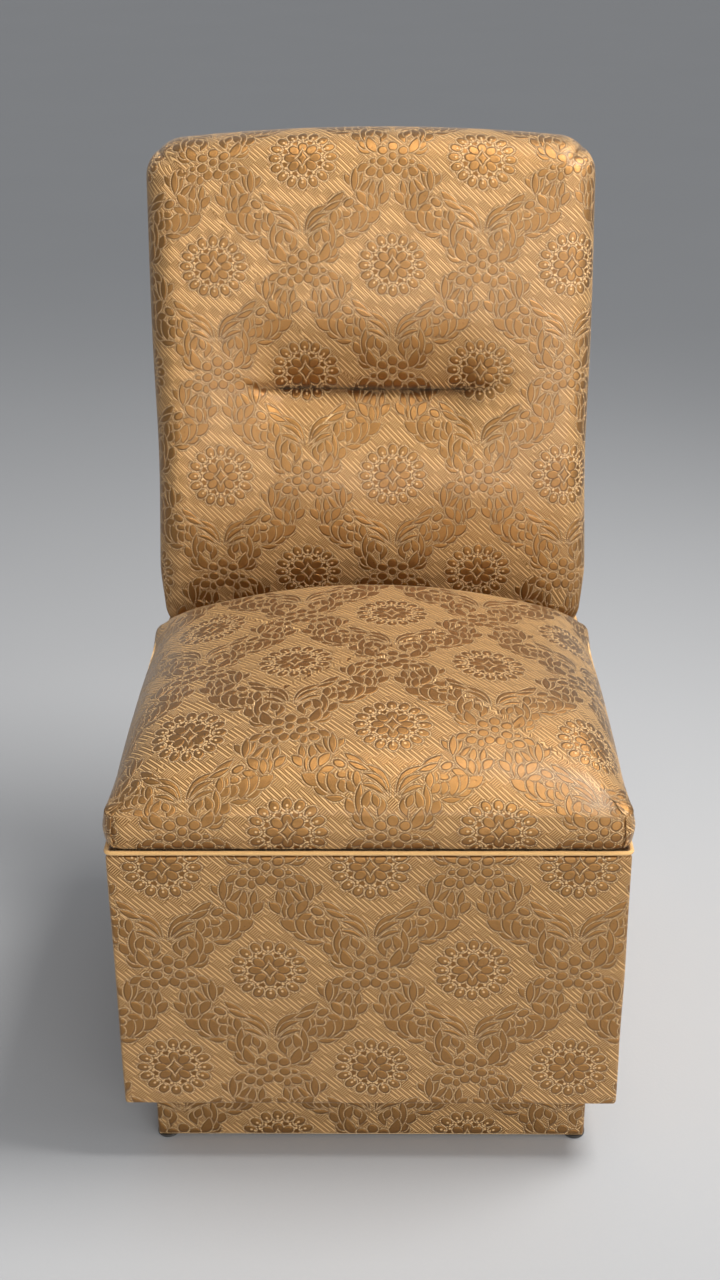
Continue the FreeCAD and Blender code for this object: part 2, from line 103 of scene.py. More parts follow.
def smooth01(v, lo, hi):
    t = np.clip((v - lo) / (hi - lo), 0.0, 1.0)
    return t * t * (3 - 2 * t)


def roll_edge(d, size, p=2.0):
    """Rise of a rolled edge: 0 with an upright tangent at d = 0, level at d = size."""
    t = np.clip(d / size, 0.0, 1.0)
    return (1 - (1 - t) ** p) ** (1 / p)


def waves(u, v, scale, seed, terms=7):
    """Smooth uneven waviness between about -1 and 1, the same on every run."""
    rng = np.random.default_rng(seed)
    out = np.zeros_like(u)
    for k in range(terms):
        a = rng.uniform(0, 2 * math.pi)
        f = rng.uniform(0.55, 1.6) * 2 * math.pi / scale
        out += np.sin(f * (math.cos(a) * u + math.sin(a) * v) + rng.uniform(0, 2 * math.pi))
    return out / terms * 1.6


# ---------------------------------------------------------------- materials


class Net:
    """Small helper for building a shader node tree in code."""

    def __init__(self, name):
        self.mat = bpy.data.materials.new(name)
        self.mat.use_nodes = True
        self.nodes = self.mat.node_tree.nodes
        self.links = self.mat.node_tree.links
        self.bsdf = self.nodes["Principled BSDF"]

    def put(self, socket, value):
        if isinstance(value, bpy.types.NodeSocket):
            self.links.new(value, socket)
        elif value is not None:
            socket.default_value = value

    def set(self, key, value):
        self.put(self.bsdf.inputs[key], value)

    def math(self, op, a, b=None, c=None, clamp=False):
        n = self.nodes.new("ShaderNodeMath")
        n.operation = op
        n.use_clamp = clamp
        for i, v in enumerate((a, b, c)):
            self.put(n.inputs[i], v)
        return n.outputs[0]

    def vec(self, op, a, b=None):
        n = self.nodes.new("ShaderNodeVectorMath")
        n.operation = op
        self.put(n.inputs[0], a)
        self.put(n.inputs[1], b)
        return n.outputs["Value"] if op in ("DOT_PRODUCT", "LENGTH", "DISTANCE") else n.outputs[0]

    def scaled(self, colour, factor):
        n = self.nodes.new("ShaderNodeVectorMath")
        n.operation = "SCALE"
        self.put(n.inputs[0], colour[:3] if isinstance(colour, tuple) else colour)
        self.put(n.inputs[3], factor)
        return n.outputs[0]

    def ramp(self, value, lo, hi, to_lo=0.0, to_hi=1.0, smooth=True):
        n = self.nodes.new("ShaderNodeMapRange")
        n.interpolation_type = "SMOOTHSTEP" if smooth else "LINEAR"
        n.clamp = True
        self.put(n.inputs["Value"], value)
        for key, v in (("From Min", lo), ("From Max", hi), ("To Min", to_lo), ("To Max", to_hi)):
            self.put(n.inputs[key], v)
        return n.outputs[0]

    def mix(self, fac, a, b):
        n = self.nodes.new("ShaderNodeMix")
        n.data_type = "RGBA"
        self.put(n.inputs[0], fac)
        self.put(n.inputs[6], a)
        self.put(n.inputs[7], b)
        return n.outputs[2]

    def pick(self, fac, a, b):
        n = self.nodes.new("ShaderNodeMix")
        n.data_type = "FLOAT"
        self.put(n.inputs[0], fac)
        self.put(n.inputs[2], a)
        self.put(n.inputs[3], b)
        return n.outputs[0]

    def combine(self, x, y, z):
        n = self.nodes.new("ShaderNodeCombineXYZ")
        for i, v in enumerate((x, y, z)):
            self.put(n.inputs[i], v)
        return n.outputs[0]

    def separate(self, v):
        n = self.nodes.new("ShaderNodeSeparateXYZ")
        self.put(n.inputs[0], v)
        return n.outputs

    def noise(self, vector, scale, detail=2.0, rough=0.5):
        n = self.nodes.new("ShaderNodeTexNoise")
        self.put(n.inputs["Vector"], vector)
        n.inputs["Scale"].default_value = scale
        n.inputs["Detail"].default_value = detail
        n.inputs["Roughness"].default_value = rough
        return n.outputs[0]

    def cells(self, vector, scale, out="Distance"):
        n = self.nodes.new("ShaderNodeTexVoronoi")
        self.put(n.inputs["Vector"], vector)
        n.inputs["Scale"].default_value = scale
        return n.outputs[out]

    def uv(self):
        n = self.nodes.new("ShaderNodeUVMap")
        n.uv_map = "fabric"
        return n.outputs[0]

    def place(self):
        """Position on the piece, in metres."""
        return self.nodes.new("ShaderNodeTexCoord").outputs["Object"]

    def bump(self, height, distance, strength=1.0):
        n = self.nodes.new("ShaderNodeBump")
        n.inputs["Strength"].default_value = strength
        n.inputs["Distance"].default_value = distance
        self.put(n.inputs["Height"], height)
        self.put(self.bsdf.inputs["Normal"], n.outputs[0])


def rgb(r, g, b):
    """sRGB 0-255 to a linear colour."""
    return tuple((v / 255 / 12.92 if v / 255 <= 0.04045 else ((v / 255 + 0.055) / 1.055) ** 2.4) for v in (r, g, b)) + (1.0,)


# Half repeat of the damask, across and up, in the drawing's own millimetres, and the whole repeat in real metres.
HALF_U, HALF_V = 104.0, 120.0
REPEAT_U, REPEAT_V = 0.2107, 0.2516

# One flower with its plumes, sprays and tulip, right half only; a later leaf lies over the earlier ones. The flower is at 0, 0.
# Centre, half length, half width, turn in degrees, bend, and 1 for a pointed or 0 for a round leaf.
LEAVES = [
    # two long arches that rise between the plumes
    (12.5, 57.5, 21, 3.6, 45, -1.92, 1), (91.5, -62.5, 21, 3.6, 135, 1.92, 1), (15.2, 52.4, 16.4, 3.1, 36, -1.67, 1), (19, 44.6, 13.7, 2.6, 22, -1.42, 1),
    (64, -46.4, 12.1, 4.3, -33, 0.42, 1), (68.5, -54.4, 12.1, 3.4, -25, 0.33, 1), (50, -51, 6.8, 4.4, -30, 0, 0), (38, -57, 8.4, 4.6, 20, 0, 1),
    # laurel spray towards the next tulip
    (57.5, 33.4, 10.1, 3.4, 3, 0.33, 1), (71.5, 41.4, 8.4, 4.1, 32, 0, 1), (80.5, 53.6, 12.2, 6.7, 33, 0, 1), (68.6, 51.4, 12.2, 6, 66, -0.25, 1),
    (59.6, 49, 12.2, 6.2, 76, -0.25, 1), (50.4, 45.8, 7.8, 5.3, 80, 0, 1), (50.6, 57.2, 5.9, 4, 0, 0, 0), (42.4, 57, 6.7, 3.4, 100, 0, 1),
    (23, -67, 12.2, 6.7, 147, 0, 1),
    # plume: side leaves, stem and curl
    (34.6, 6.4, 9.5, 3.6, 30, 0.42, 1), (34.4, 13, 10.1, 4, 42, 0.5, 1), (42.6, 26, 8.4, 5.5, 62, 0, 1), (42.2, 45, 6.9, 5, 55, 0, 1),
    (36.2, 52.6, 10.1, 4.6, 84, 0, 1), (33.8, 33.4, 15.8, 4.1, 93, 0.25, 1), (11, 27, 11.3, 5, 88, -0.83, 1), (26.6, 32, 10.9, 4.8, 106, 0.33, 1),
    (16.8, 31.8, 7.4, 4.3, 68, 0, 1), (25.4, 12.6, 13.2, 5.8, 60, 0.62, 1),
    # tulip under the flower
    (17.6, -43, 16.8, 3.1, 92, 0, 1), (13, -36, 10.5, 3.8, 98, 0, 1), (9, -45.4, 8.8, 5, 128, 0.25, 1), (23.4, -36.6, 10.5, 4.3, 102, 0, 1),
    (31.6, -33.2, 11.6, 3.4, 126, 0.25, 1), (25, -50, 9.5, 4.6, 84, 0, 1), (35, -45.2, 9.9, 5.3, 56, -0.25, 1), (37.2, -26.8, 10.9, 3.2, 108, 0.17, 1),
    (50.8, -25.6, 7.6, 4.1, 58, -0.25, 1), (43.4, -25.4, 13.9, 4.3, 92, 0, 1),
    # flower
    (34.4, -12.6, 7.6, 4.3, -34, 0, 1), (24.2, -16.8, 6.6, 5.3, -15, 0, 0), (22.6, -5.8, 4, 3.1, -10, 0, 0), (14.4, -19.6, 4, 5.3, 0, 0, 0),
    (5.6, -14.6, 5.7, 5.5, -60, 0, 0), (12.2, -6, 6.1, 5.1, -10, 0, 0), (12, 6.4, 6.1, 5.3, 20, 0, 0), (0, 11.6, 6.1, 6.2, 0, 0, 0),
    (0, 0, 4.7, 4.8, 0, 0, 0),
]


def damask(name):
    """Gold damask in two weaves: a flat satin, and raised matte threads that draw every outline and the slanting bars of the ground."""
    n = Net(name)
    satin_colour, satin_warm = rgb(146, 104, 55), rgb(128, 87, 41)
    stitch_colour = rgb(240, 199, 142)
    # the groove colour is painted shade for the sunk outline lines
    thread_colour, thread_deep, painted_groove_shade_colour = rgb(216, 174, 116), rgb(188, 144, 88), rgb(84, 50, 20)
    uv = n.uv()
    s = n.separate(uv)
    mm_u, mm_v = n.math("MULTIPLY", s[0], 1000.0), n.math("MULTIPLY", s[1], 1000.0)
    # slight drift of the threads, so that no line is ruler straight
    drift = n.math("MULTIPLY_ADD", n.noise(uv, 9.0, 1.0), 5.0, -2.5)
    pu = n.math("MULTIPLY_ADD", s[0], 2.0 * HALF_U / REPEAT_U, drift)
    pv = n.math("MULTIPLY_ADD", s[1], 2.0 * HALF_V / REPEAT_V, drift)
    # fold every place of the cloth into one half repeat with the flower at its corner
    row = n.math("ROUND", n.math("DIVIDE", pv, HALF_V))
    y = n.math("MULTIPLY_ADD", row, -HALF_V, pv)
    x = n.math("PINGPONG", n.math("MULTIPLY_ADD", row, HALF_U, pu), HALF_U)
    p = n.combine(x, y, 1.0)
    # the uppermost leaf at every place draws the outlines, the nearest one tells figure from ground
    near = top = None

    def add_leaf(v, half):
        nonlocal near, top
        w = n.math("MULTIPLY_ADD", v, half / 5.0, 1.0 - half / 5.0)
        if near is None:
            near = top = w
            return
        top = n.pick(n.math("LESS_THAN", w, 1.36), top, w)
        near = n.math("MINIMUM", near, w)

    for cx, cy, a, b, turn, bend, pointed in LEAVES:
        c, d = math.cos(math.radians(turn)), math.sin(math.radians(turn))
        along = n.vec("DOT_PRODUCT", p, (c / a, d / a, -(c * cx + d * cy) / a))
        across = n.vec("DOT_PRODUCT", p, (-d / b, c / b, (d * cx - c * cy) / b))
        along = n.math("MULTIPLY", along, along)
        if bend:
            across = n.math("MULTIPLY_ADD", along, -bend, across)
        if pointed:
            add_leaf(n.math("ADD", along, n.math("ABSOLUTE", across)), b)
        else:
            add_leaf(n.math("SQRT", n.math("MULTIPLY_ADD", across, across, along)), b)
    # round medallion at the other end of the row
    mx = n.math("MULTIPLY", n.math("SUBTRACT", HALF_U, x), 0.95)
    my = n.math("MULTIPLY", y, 1.06)
    rad = n.math("SQRT", n.math("MULTIPLY_ADD", mx, mx, n.math("MULTIPLY", my, my)))
    ang = n.math("ARCTAN2", my, mx)

    def spoke(count, half_turn, r0, a, b):
        w = n.math("PINGPONG", n.math("ADD", ang, math.pi / count if half_turn else 0.0), math.pi / count)
        along = n.math("DIVIDE", n.math("MULTIPLY_ADD", rad, n.math("COSINE", w), -r0), a)
        across = n.math("DIVIDE", n.math("MULTIPLY", rad, n.math("SINE", w)), b)
        return n.math("SQRT", n.math("MULTIPLY_ADD", along, along, n.math("MULTIPLY", across, across)))

    add_leaf(spoke(16, False, 31.2, 6.8, 5.2), 5.2)
    add_leaf(spoke(8, False, 13.6, 7.0, 5.4), 5.4)
    add_leaf(n.math("ADD", n.math("POWER", n.math("DIVIDE", n.math("ABSOLUTE", mx), 7.0), 0.72),
                    n.math("POWER", n.math("DIVIDE", n.math("ABSOLUTE", my), 11.0), 0.72)), 5.0)
    dot = n.math("MINIMUM", spoke(16, True, 22.2, 1.5, 1.5),
                 n.math("MINIMUM", spoke(16, False, 25.4, 1.4, 1.4), spoke(16, False, 29.6, 1.5, 1.3)))
    dot = n.ramp(dot, 0.7, 1.3, 1.0, 0.0)

    mask = n.math("MAXIMUM", n.ramp(near, 1.28, 1.38, 1.0, 0.0), n.ramp(rad, 27.0, 29.0, 1.0, 0.0))
    line = n.math("MULTIPLY", n.ramp(top, 0.96, 1.05), n.ramp(top, 1.18, 1.29, 1.0, 0.0))
    # painted shade: a band just inside each outline, darkened as shade beside the raised outline
    inner_rim_shade = n.math("MULTIPLY", n.ramp(top, 0.82, 0.92), n.ramp(top, 0.94, 1.03, 1.0, 0.0))
    # dotted stitches along the outlines
    dots = n.math("MULTIPLY", n.math("SINE", n.math("MULTIPLY", mm_u, 2 * math.pi / 3.1)),
                  n.math("SINE", n.math("MULTIPLY", mm_v, 2 * math.pi / 2.7)))
    dots = n.ramp(dots, -0.38, 0.22, 0.22, 1.0)
    stitches = n.math("MAXIMUM", n.math("MULTIPLY", line, dots), n.math("MULTIPLY", dot, 0.72))
    # gaps between the outline stitches and the band inside each outline: sunk in the relief, less metallic, and painted
    # dark as shade in the colour
    groove_with_painted_shade = n.math("MAXIMUM", n.math("MULTIPLY", line, n.math("SUBTRACT", 1.0, dots)), n.math("MULTIPLY", inner_rim_shade, 0.60))
    # ground: blocks of slanting bars that change direction
    da = n.math("DIVIDE", n.math("ADD", mm_u, mm_v), 1.41421)
    db = n.math("DIVIDE", n.math("SUBTRACT", mm_u, mm_v), 1.41421)
    across = n.math("WRAP", n.math("ADD", n.math("FLOOR", n.math("DIVIDE", da, 9.2)), n.math("MULTIPLY", n.math("FLOOR", n.math("DIVIDE", db, 13.8)), 2.0)), 3.0, 0.0)
    turn = n.math("LESS_THAN", across, 0.5)
    long_bars = n.math("MAXIMUM", n.ramp(n.math("SINE", n.math("MULTIPLY", da, 2 * math.pi / 4.6)), 0.10, 0.65),
                       n.ramp(n.math("SINE", n.math("MULTIPLY_ADD", da, 2 * math.pi / 4.6, math.pi)), 0.62, 1.0, 0.0, 0.6))
    short_bars = n.ramp(n.math("SINE", n.math("MULTIPLY", db, 2 * math.pi / 2.3)), -0.05, 0.6)
    bars = n.pick(turn, long_bars, short_bars)
    # threads and slubs
    thread = n.math("MULTIPLY", n.math("SINE", n.math("MULTIPLY", mm_u, 2 * math.pi / 0.9)),
                    n.math("SINE", n.math("MULTIPLY", mm_v, 2 * math.pi / 1.1)))
    slub = n.noise(n.vec("MULTIPLY", uv, (1.0, 3.0, 1.0)), 260.0, 3.0, 0.6)
    cloud = n.noise(uv, 14.0, 2.0)

    raised = n.math("MAXIMUM", stitches, n.math("MULTIPLY", bars, n.math("SUBTRACT", 1.0, mask)), clamp=True)
    col = n.mix(raised, n.mix(n.ramp(near, 0.9, 1.5), satin_colour, satin_warm), n.mix(stitches, n.mix(slub, thread_deep, thread_colour), stitch_colour))
    # painted shade: the grooves darkened in the base colour
    col = n.mix(n.math("MULTIPLY", groove_with_painted_shade, 0.75), col, painted_groove_shade_colour)
    shade = n.math("ADD", n.math("MULTIPLY_ADD", slub, 0.20, 0.90), n.math("MULTIPLY_ADD", cloud, 0.16, -0.08))
    shade = n.math("MULTIPLY_ADD", thread, 0.05, shade)
    n.set("Base Color", n.scaled(col, shade))
    n.set("Roughness", n.math("ADD", n.math("MULTIPLY_ADD", raised, 0.34, 0.29), n.math("MULTIPLY_ADD", slub, 0.10, -0.05)))
    n.set("Metallic", n.math("MULTIPLY_ADD", groove_with_painted_shade, -0.6, n.math("MULTIPLY_ADD", raised, -0.82, 0.88), clamp=True))
    height = n.math("MULTIPLY_ADD", n.ramp(top, 0.60, 1.04, 1.0, 0.0), 0.30, n.math("MULTIPLY", raised, 0.70))
    height = n.math("MULTIPLY_ADD", groove_with_painted_shade, -0.55, height)
    height = n.math("MULTIPLY_ADD", thread, 0.04, height)
    n.bump(height, 0.0016, 1.0)
    n.set("Coat Weight", 0.28)
    n.set("Coat Roughness", 0.34)
    n.set("Sheen Weight", 0.10)
    n.set("Sheen Roughness", 0.45)
    n.set("Sheen Tint", (1.0, 0.86, 0.62, 1.0))
    return n.mat


def wood(name, light, dark, along=0, ring=34.0, rough=0.62):
    """Planed timber with long grain along one axis."""
    n = Net(name)
    stretch = [1.0, 1.0, 1.0]
    stretch[along] = 0.06
    place = n.vec("MULTIPLY", n.place(), tuple(stretch))
    wob = n.noise(place, 9.0, 3.0)
    rings = n.math("SINE", n.math("MULTIPLY", n.math("ADD", n.noise(place, ring, 1.0), n.math("MULTIPLY", wob, 0.7)), 26.0))
    fibre = n.noise(place, 420.0, 3.0, 0.65)
    fac = n.math("ADD", n.ramp(rings, -1.0, 1.0, 0.0, 0.65), n.math("MULTIPLY_ADD", fibre, 0.7, -0.2), clamp=True)
    n.set("Base Color", n.mix(fac, light, dark))
    n.set("Roughness", n.math("MULTIPLY_ADD", fibre, 0.25, rough - 0.12))
    n.bump(n.math("ADD", fibre, n.math("MULTIPLY", rings, 0.2)), 0.0003, 0.6)
    return n.mat


def chipboard(name):
    n = Net(name)
    place = n.place()
    cell = n.cells(place, 420.0, "Color")
    tone = n.separate(cell)[0]
    fine = n.noise(place, 900.0, 3.0, 0.7)
    col = n.mix(tone, rgb(196, 164, 118), rgb(140, 104, 66))
    n.set("Base Color", n.scaled(col, n.math("MULTIPLY_ADD", fine, 0.4, 0.8)))
    n.set("Roughness", n.math("MULTIPLY_ADD", fine, 0.2, 0.65))
    n.bump(n.math("ADD", tone, fine), 0.0003, 0.5)
    return n.mat


def metal(name, colour, dull, rough, brush=(1.0, 30.0, 30.0)):
    n = Net(name)
    place = n.place()
    lines = n.noise(n.vec("MULTIPLY", place, brush), 160.0, 3.0, 0.6)
    blotch = n.noise(place, 90.0, 3.0, 0.6)
    n.set("Base Color", n.mix(n.ramp(blotch, 0.42, 0.70), colour, dull))
    n.set("Metallic", 1.0)
    n.set("Roughness", n.math("ADD", n.math("MULTIPLY_ADD", lines, 0.22, rough - 0.11), n.math("MULTIPLY", n.ramp(blotch, 0.45, 0.75), 0.12)))
    n.bump(lines, 0.00008, 0.5)
    return n.mat


def weave(name, warp, weft, pitch, rough=0.85, on_uv=False, bump=0.0005):
    """Plain over and under weave."""
    n = Net(name)
    if on_uv:
        s = n.separate(n.uv())
        a, b, place = s[0], s[1], n.uv()
    else:
        place = n.place()
        s = n.separate(place)
        a, b = s[0], n.math("ADD", s[1], s[2])
    k = 2 * math.pi / pitch
    drift = n.math("MULTIPLY_ADD", n.noise(place, 60.0, 2.0), 1.2, -0.6)
    wu = n.math("SINE", n.math("MULTIPLY_ADD", a, k, drift))
    wv = n.math("SINE", n.math("MULTIPLY_ADD", b, k, drift))
    over = n.math("MULTIPLY", wu, wv)
    slub = n.noise(n.vec("MULTIPLY", place, (1.0, 4.0, 4.0)), 300.0, 3.0, 0.65)
    col = n.mix(n.ramp(over, -0.6, 0.6), warp, weft)
    n.set("Base Color", n.scaled(col, n.math("MULTIPLY_ADD", slub, 0.5, 0.75)))
    n.set("Roughness", n.math("MULTIPLY_ADD", slub, 0.2, rough - 0.1))
    n.bump(n.math("ADD", n.math("MULTIPLY", n.math("ABSOLUTE", over), 0.8), n.math("MULTIPLY", slub, 0.4)), bump, 0.8)
    n.set("Sheen Weight", 0.15)
    return n.mat


def moulded(name, colour, rough):
    n = Net(name)
    place = n.place()
    grain = n.noise(place, 900.0, 3.0, 0.6)
    scuff = n.noise(place, 130.0, 4.0, 0.6)
    n.set("Base Color", n.scaled(n.mix(n.ramp(scuff, 0.5, 0.8), colour, tuple(min(1, 2.2 * c + 0.02) for c in colour[:3]) + (1.0,)), n.math("MULTIPLY_ADD", grain, 0.2, 0.9)))
    n.set("Roughness", n.math("MULTIPLY_ADD", grain, 0.2, rough - 0.1))
    n.bump(grain, 0.0001, 0.5)
    return n.mat


def fibrous(name, colour, scale=700.0, bump=0.0006):
    """Felt, foam and card."""
    n = Net(name)
    place = n.place()
    fuzz = n.noise(place, scale, 4.0, 0.7)
    blotch = n.noise(place, 40.0, 2.0)
    n.set("Base Color", n.scaled(colour, n.math("ADD", n.math("MULTIPLY_ADD", fuzz, 0.6, 0.6), n.math("MULTIPLY_ADD", blotch, 0.2, -0.1))))
    n.set("Roughness", n.math("MULTIPLY_ADD", fuzz, 0.1, 0.86))
    n.bump(fuzz, bump, 0.8)
    return n.mat


DAMASK = damask("gold_damask")
CALICO = weave("calico_lining", rgb(206, 194, 168), rgb(188, 174, 146), 0.0011, on_uv=True)
WELT = weave("gold_welt_cloth", rgb(222, 178, 114), rgb(198, 150, 88), 0.0013, rough=0.6, on_uv=True, bump=0.0004)
FINISH = {
    "damask": DAMASK,
    "lining_cloth": CALICO,
    "foam": fibrous("upholstery_foam", rgb(226, 206, 150), 500.0),
    "jute": weave("jute_webbing", rgb(172, 138, 92), rgb(140, 106, 66), 0.0032, bump=0.0012),
    "card": fibrous("tack_card", rgb(186, 160, 124), 420.0, 0.0003),
    "felt": fibrous("felt_pad", rgb(70, 58, 48)),
    "glide_plastic": moulded("glide_nylon", rgb(44, 42, 40), 0.5),
    "zinc_steel": metal("zinc_plate", rgb(186, 188, 186), rgb(150, 150, 146), 0.36),
    "hinge_brass": metal("dull_brass", rgb(196, 160, 92), rgb(142, 110, 62), 0.34),
    "plywood": wood("birch_ply", rgb(214, 182, 134), rgb(182, 144, 98), 0),
    "chipboard": chipboard("chipboard_panel"),
    "softwood": wood("pine", rgb(220, 186, 134), rgb(184, 138, 84), 0),
}
PINE_UP = wood("pine_upright", rgb(220, 186, 134), rgb(184, 138, 84), 2)
PINE_DEEP = wood("pine_front_to_back", rgb(220, 186, 134), rgb(184, 138, 84), 1)
for sub in frame["record"]["subparts"]:
    ob = nodes[sub["node"]]
    mat = FINISH[sub["material_slot"]]
    if sub["material_slot"] == "softwood":
        low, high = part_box(sub["node"])
        longest = max(range(3), key=lambda k: high[k] - low[k])
        mat = (FINISH["softwood"], PINE_DEEP, PINE_UP)[longest]
        if sub["node"] in ("box_corner_posts", "plinth_corner_blocks"):
            mat = PINE_UP
    ob.data.materials.clear()
    ob.data.materials.append(mat)

# ---------------------------------------------------------------- mesh helpers


def make_piece(name, verts, faces, loop_uv, mat, body, replaced=(), slot=None):
    me = bpy.data.meshes.new(name)
    me.from_pydata(np.asarray(verts, float).reshape(-1, 3).tolist(), [], np.asarray(faces).tolist())
    layer = me.uv_layers.new(name="fabric")
    layer.data.foreach_set("uv", np.asarray(loop_uv, np.float32).ravel())
    me.polygons.foreach_set("use_smooth", [True] * len(me.polygons))
    me.materials.append(mat)
    me.update()
    ob = bpy.data.objects.new(name, me)
    scene.collection.objects.link(ob)
    if replaced:
        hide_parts(*replaced)
    ob["to_body"] = body
    return ob


def coords(ob):
    co = np.zeros(len(ob.data.vertices) * 3, np.float32)
    ob.data.vertices.foreach_get("co", co)
    return co.reshape(-1, 3).astype(float)


def set_coords(ob, co):
    ob.data.vertices.foreach_set("co", np.asarray(co, np.float32).ravel())
    ob.data.update()


def loft(name, rows, u, v, mat, body, wrap, flip=False, **kw):
    """Rows of points joined by quads; wrap closes each row on itself. u and v hold one value per point, plus one column when wrapped."""
    rows = np.asarray(rows, float)
    m, n = rows.shape[:2]
    cols = n if wrap else n - 1
    i, j = np.meshgrid(np.arange(m - 1), np.arange(cols), indexing="ij")
    k = (j + 1) % n
    faces = np.stack([i * n + j, i * n + k, (i + 1) * n + k, (i + 1) * n + j], -1).reshape(-1, 4)
    uv = np.stack([u, v], -1)
    loops = np.stack([uv[i, j], uv[i, j + 1], uv[i + 1, j + 1], uv[i + 1, j]], -2).reshape(-1, 4, 2)
    if flip:
        faces, loops = faces[:, ::-1], loops[:, ::-1]
    return make_piece(name, rows, faces, loops, mat, body, **kw)


def outline(hx, s0, s1, r, n_x, n_s, n_c, start="rear"):
    """Rounded rectangle in plan, from the middle of the rear edge round by the left side and the front: points, length along it, outward normals."""
    pts = []
    cx, c0, c1 = hx - r, s0 + r, s1 - r

    def arc(x, s, a0, a1):
        for k in range(1, n_c):
            a = math.radians(a0 + (a1 - a0) * k / n_c)
            pts.append((x + r * math.cos(a), s + r * math.sin(a)))

    for t in np.linspace(0, -cx, n_x // 2 + 1):
        pts.append((t, s1))
    arc(-cx, c1, 90, 180)
    for t in np.linspace(c1, c0, n_s + 1):
        pts.append((-hx, t))
    arc(-cx, c0, 180, 270)
    for t in np.linspace(-cx, cx, n_x + 1):
        pts.append((t, s0))
    arc(cx, c0, 270, 360)
    for t in np.linspace(c0, c1, n_s + 1):
        pts.append((hx, t))
    arc(cx, c1, 0, 90)
    for t in np.linspace(cx, 0, n_x // 2 + 1)[:-1]:
        pts.append((t, s1))
    p = np.array(pts)
    step = np.linalg.norm(np.roll(p, -1, 0) - p, axis=1)
    length = np.concatenate([[0], np.cumsum(step)])
    tang = np.roll(p, -1, 0) - np.roll(p, 1, 0)
    tang /= np.linalg.norm(tang, axis=1)[:, None]
    return p, length - length[-1] / 2, np.stack([-tang[:, 1], tang[:, 0]], 1) * np.array([1.0, 1.0])


def band(name, hx, s0, s1, r, profile, mat, body, u0, v0, wave, n_x=106, n_s=116, n_c=6, **kw):
    """Cloth band stretched round a box: profile is (inset, z) from the lower inner edge to the upper inner edge."""
    rows, vs, us = [], [], None
    along = 0.0
    prev = None
    base, length, _ = outline(hx, s0, s1, r, n_x, n_s, n_c)
    for inset, z in profile:
        p, _, nrm = outline(hx - inset, s0 + inset, s1 - inset, max(r - inset, 0.0006), n_x, n_s, n_c)
        if prev is not None:
            along += math.hypot(inset - prev[0], z - prev[1])
        prev = (inset, z)
        vs.append(along)
        if inset == 0.0:
            rel = (z - profile[0][1]) / (profile[-1][1] - profile[0][1])
            swell = wave * math.sin(math.pi * rel) ** 0.5
            q = swell * waves(length[:-1], np.full(len(p), z), 0.16, 11)
            p = p - nrm * q[:, None]
        rows.append(world(p[:, 0], p[:, 1], np.full(len(p), z)))
    vs = np.array(vs)
    z_on_v = next(k for k, (i, _) in enumerate(profile) if i == 0.0)
    vs = vs - vs[z_on_v] + profile[z_on_v][1]
    u = np.tile(length - u0, (len(rows), 1))
    v = np.repeat((vs - v0)[:, None], len(length), 1)
    ob = loft(name, rows, u, v, mat, body, True, flip=False, **kw)
    return ob, float(length[-1] - length[0]), float(vs[-1] - vs[0])


def pads_grid(K, extra):
    """Square grid whose inner K rings lie on the crown of a pad and whose outer rings go down its sides."""
    M = K + extra
    idx = np.arange(-M, M + 1)
    A, B = np.meshgrid(idx, idx, indexing="ij")
    ring = np.maximum(np.abs(A), np.abs(B))
    scale = np.where(ring > K, K / np.maximum(ring, 1), 1.0)
    a, b = A * scale / K, B * scale / K
    n = 2 * M + 1
    i, j = np.meshgrid(np.arange(n - 1), np.arange(n - 1), indexing="ij")
    faces = np.stack([i * n + j, (i + 1) * n + j, (i + 1) * n + j + 1, i * n + j + 1], -1).reshape(-1, 4)
    ci, cj = (i + 0.5 - M).ravel(), (j + 0.5 - M).ravel()
    quad = np.where(np.abs(cj) >= np.abs(ci), np.where(cj < 0, 0, 1), np.where(ci < 0, 2, 3))
    return A, B, ring, a, b, faces, quad, M


def round_corner(x, y, hx, hy, r):
    """Moves the points of a square's corner zone (r by r) on to a quarter disc."""
    vx, vy = np.abs(x) - (hx - r), np.abs(y) - (hy - r)
    both = (vx > 1e-9) & (vy > 1e-9)
    big, size = np.maximum(vx, vy), np.hypot(vx, vy)
    f = np.where(both, big / np.maximum(size, 1e-9), 1.0)
    nx = np.where(both, np.sign(x) * (hx - r + vx * f), x)
    ny = np.where(both, np.sign(y) * (hy - r + vy * f), y)
    return nx, ny


def pad_uv(P, A, B, ring, K, x, y, faces, quad, u0, v0, edge):
    """Cloth coordinates of a pad, metres on the cloth: one piece over the crown, then down each side with the surplus folded away at the corners."""
    M = (P.shape[0] - 1) // 2

    def arc(path):
        return np.concatenate([[0], np.cumsum(np.linalg.norm(np.diff(path, axis=0), axis=1))])

    ax = arc(P[M:, M])
    af, ar = arc(P[M, M::-1]), arc(P[M, M:])
    k = np.arange(M + 1)
    inner = np.minimum(ring, K) / K
    w = 1 - smooth01(np.sin(inner * math.pi / 2), 1 - edge, 1.0)
    ia = np.abs(A) * np.where(ring > K, K / np.maximum(ring, 1), 1.0)
    ib = np.abs(B) * np.where(ring > K, K / np.maximum(ring, 1), 1.0)
    arc_a = np.interp(ia, k, ax)
    arc_b = np.where(B < 0, np.interp(ib, k, af), np.interp(ib, k, ar))
    u_face = np.sign(A) * (np.abs(x) + (arc_a - np.abs(x)) * w)
    v_face = np.sign(B) * (np.abs(y) + (arc_b - np.abs(y)) * w)
    options = [
        (u_face, -af[ring]), (u_face, ar[ring]), (-ax[ring], v_face), (ax[ring], v_face),
    ]
    uvs = np.stack([np.stack([o[0] - u0, o[1] - v0], -1).reshape(-1, 2) for o in options])
    return uvs[quad[:, None], faces], ax, af, ar


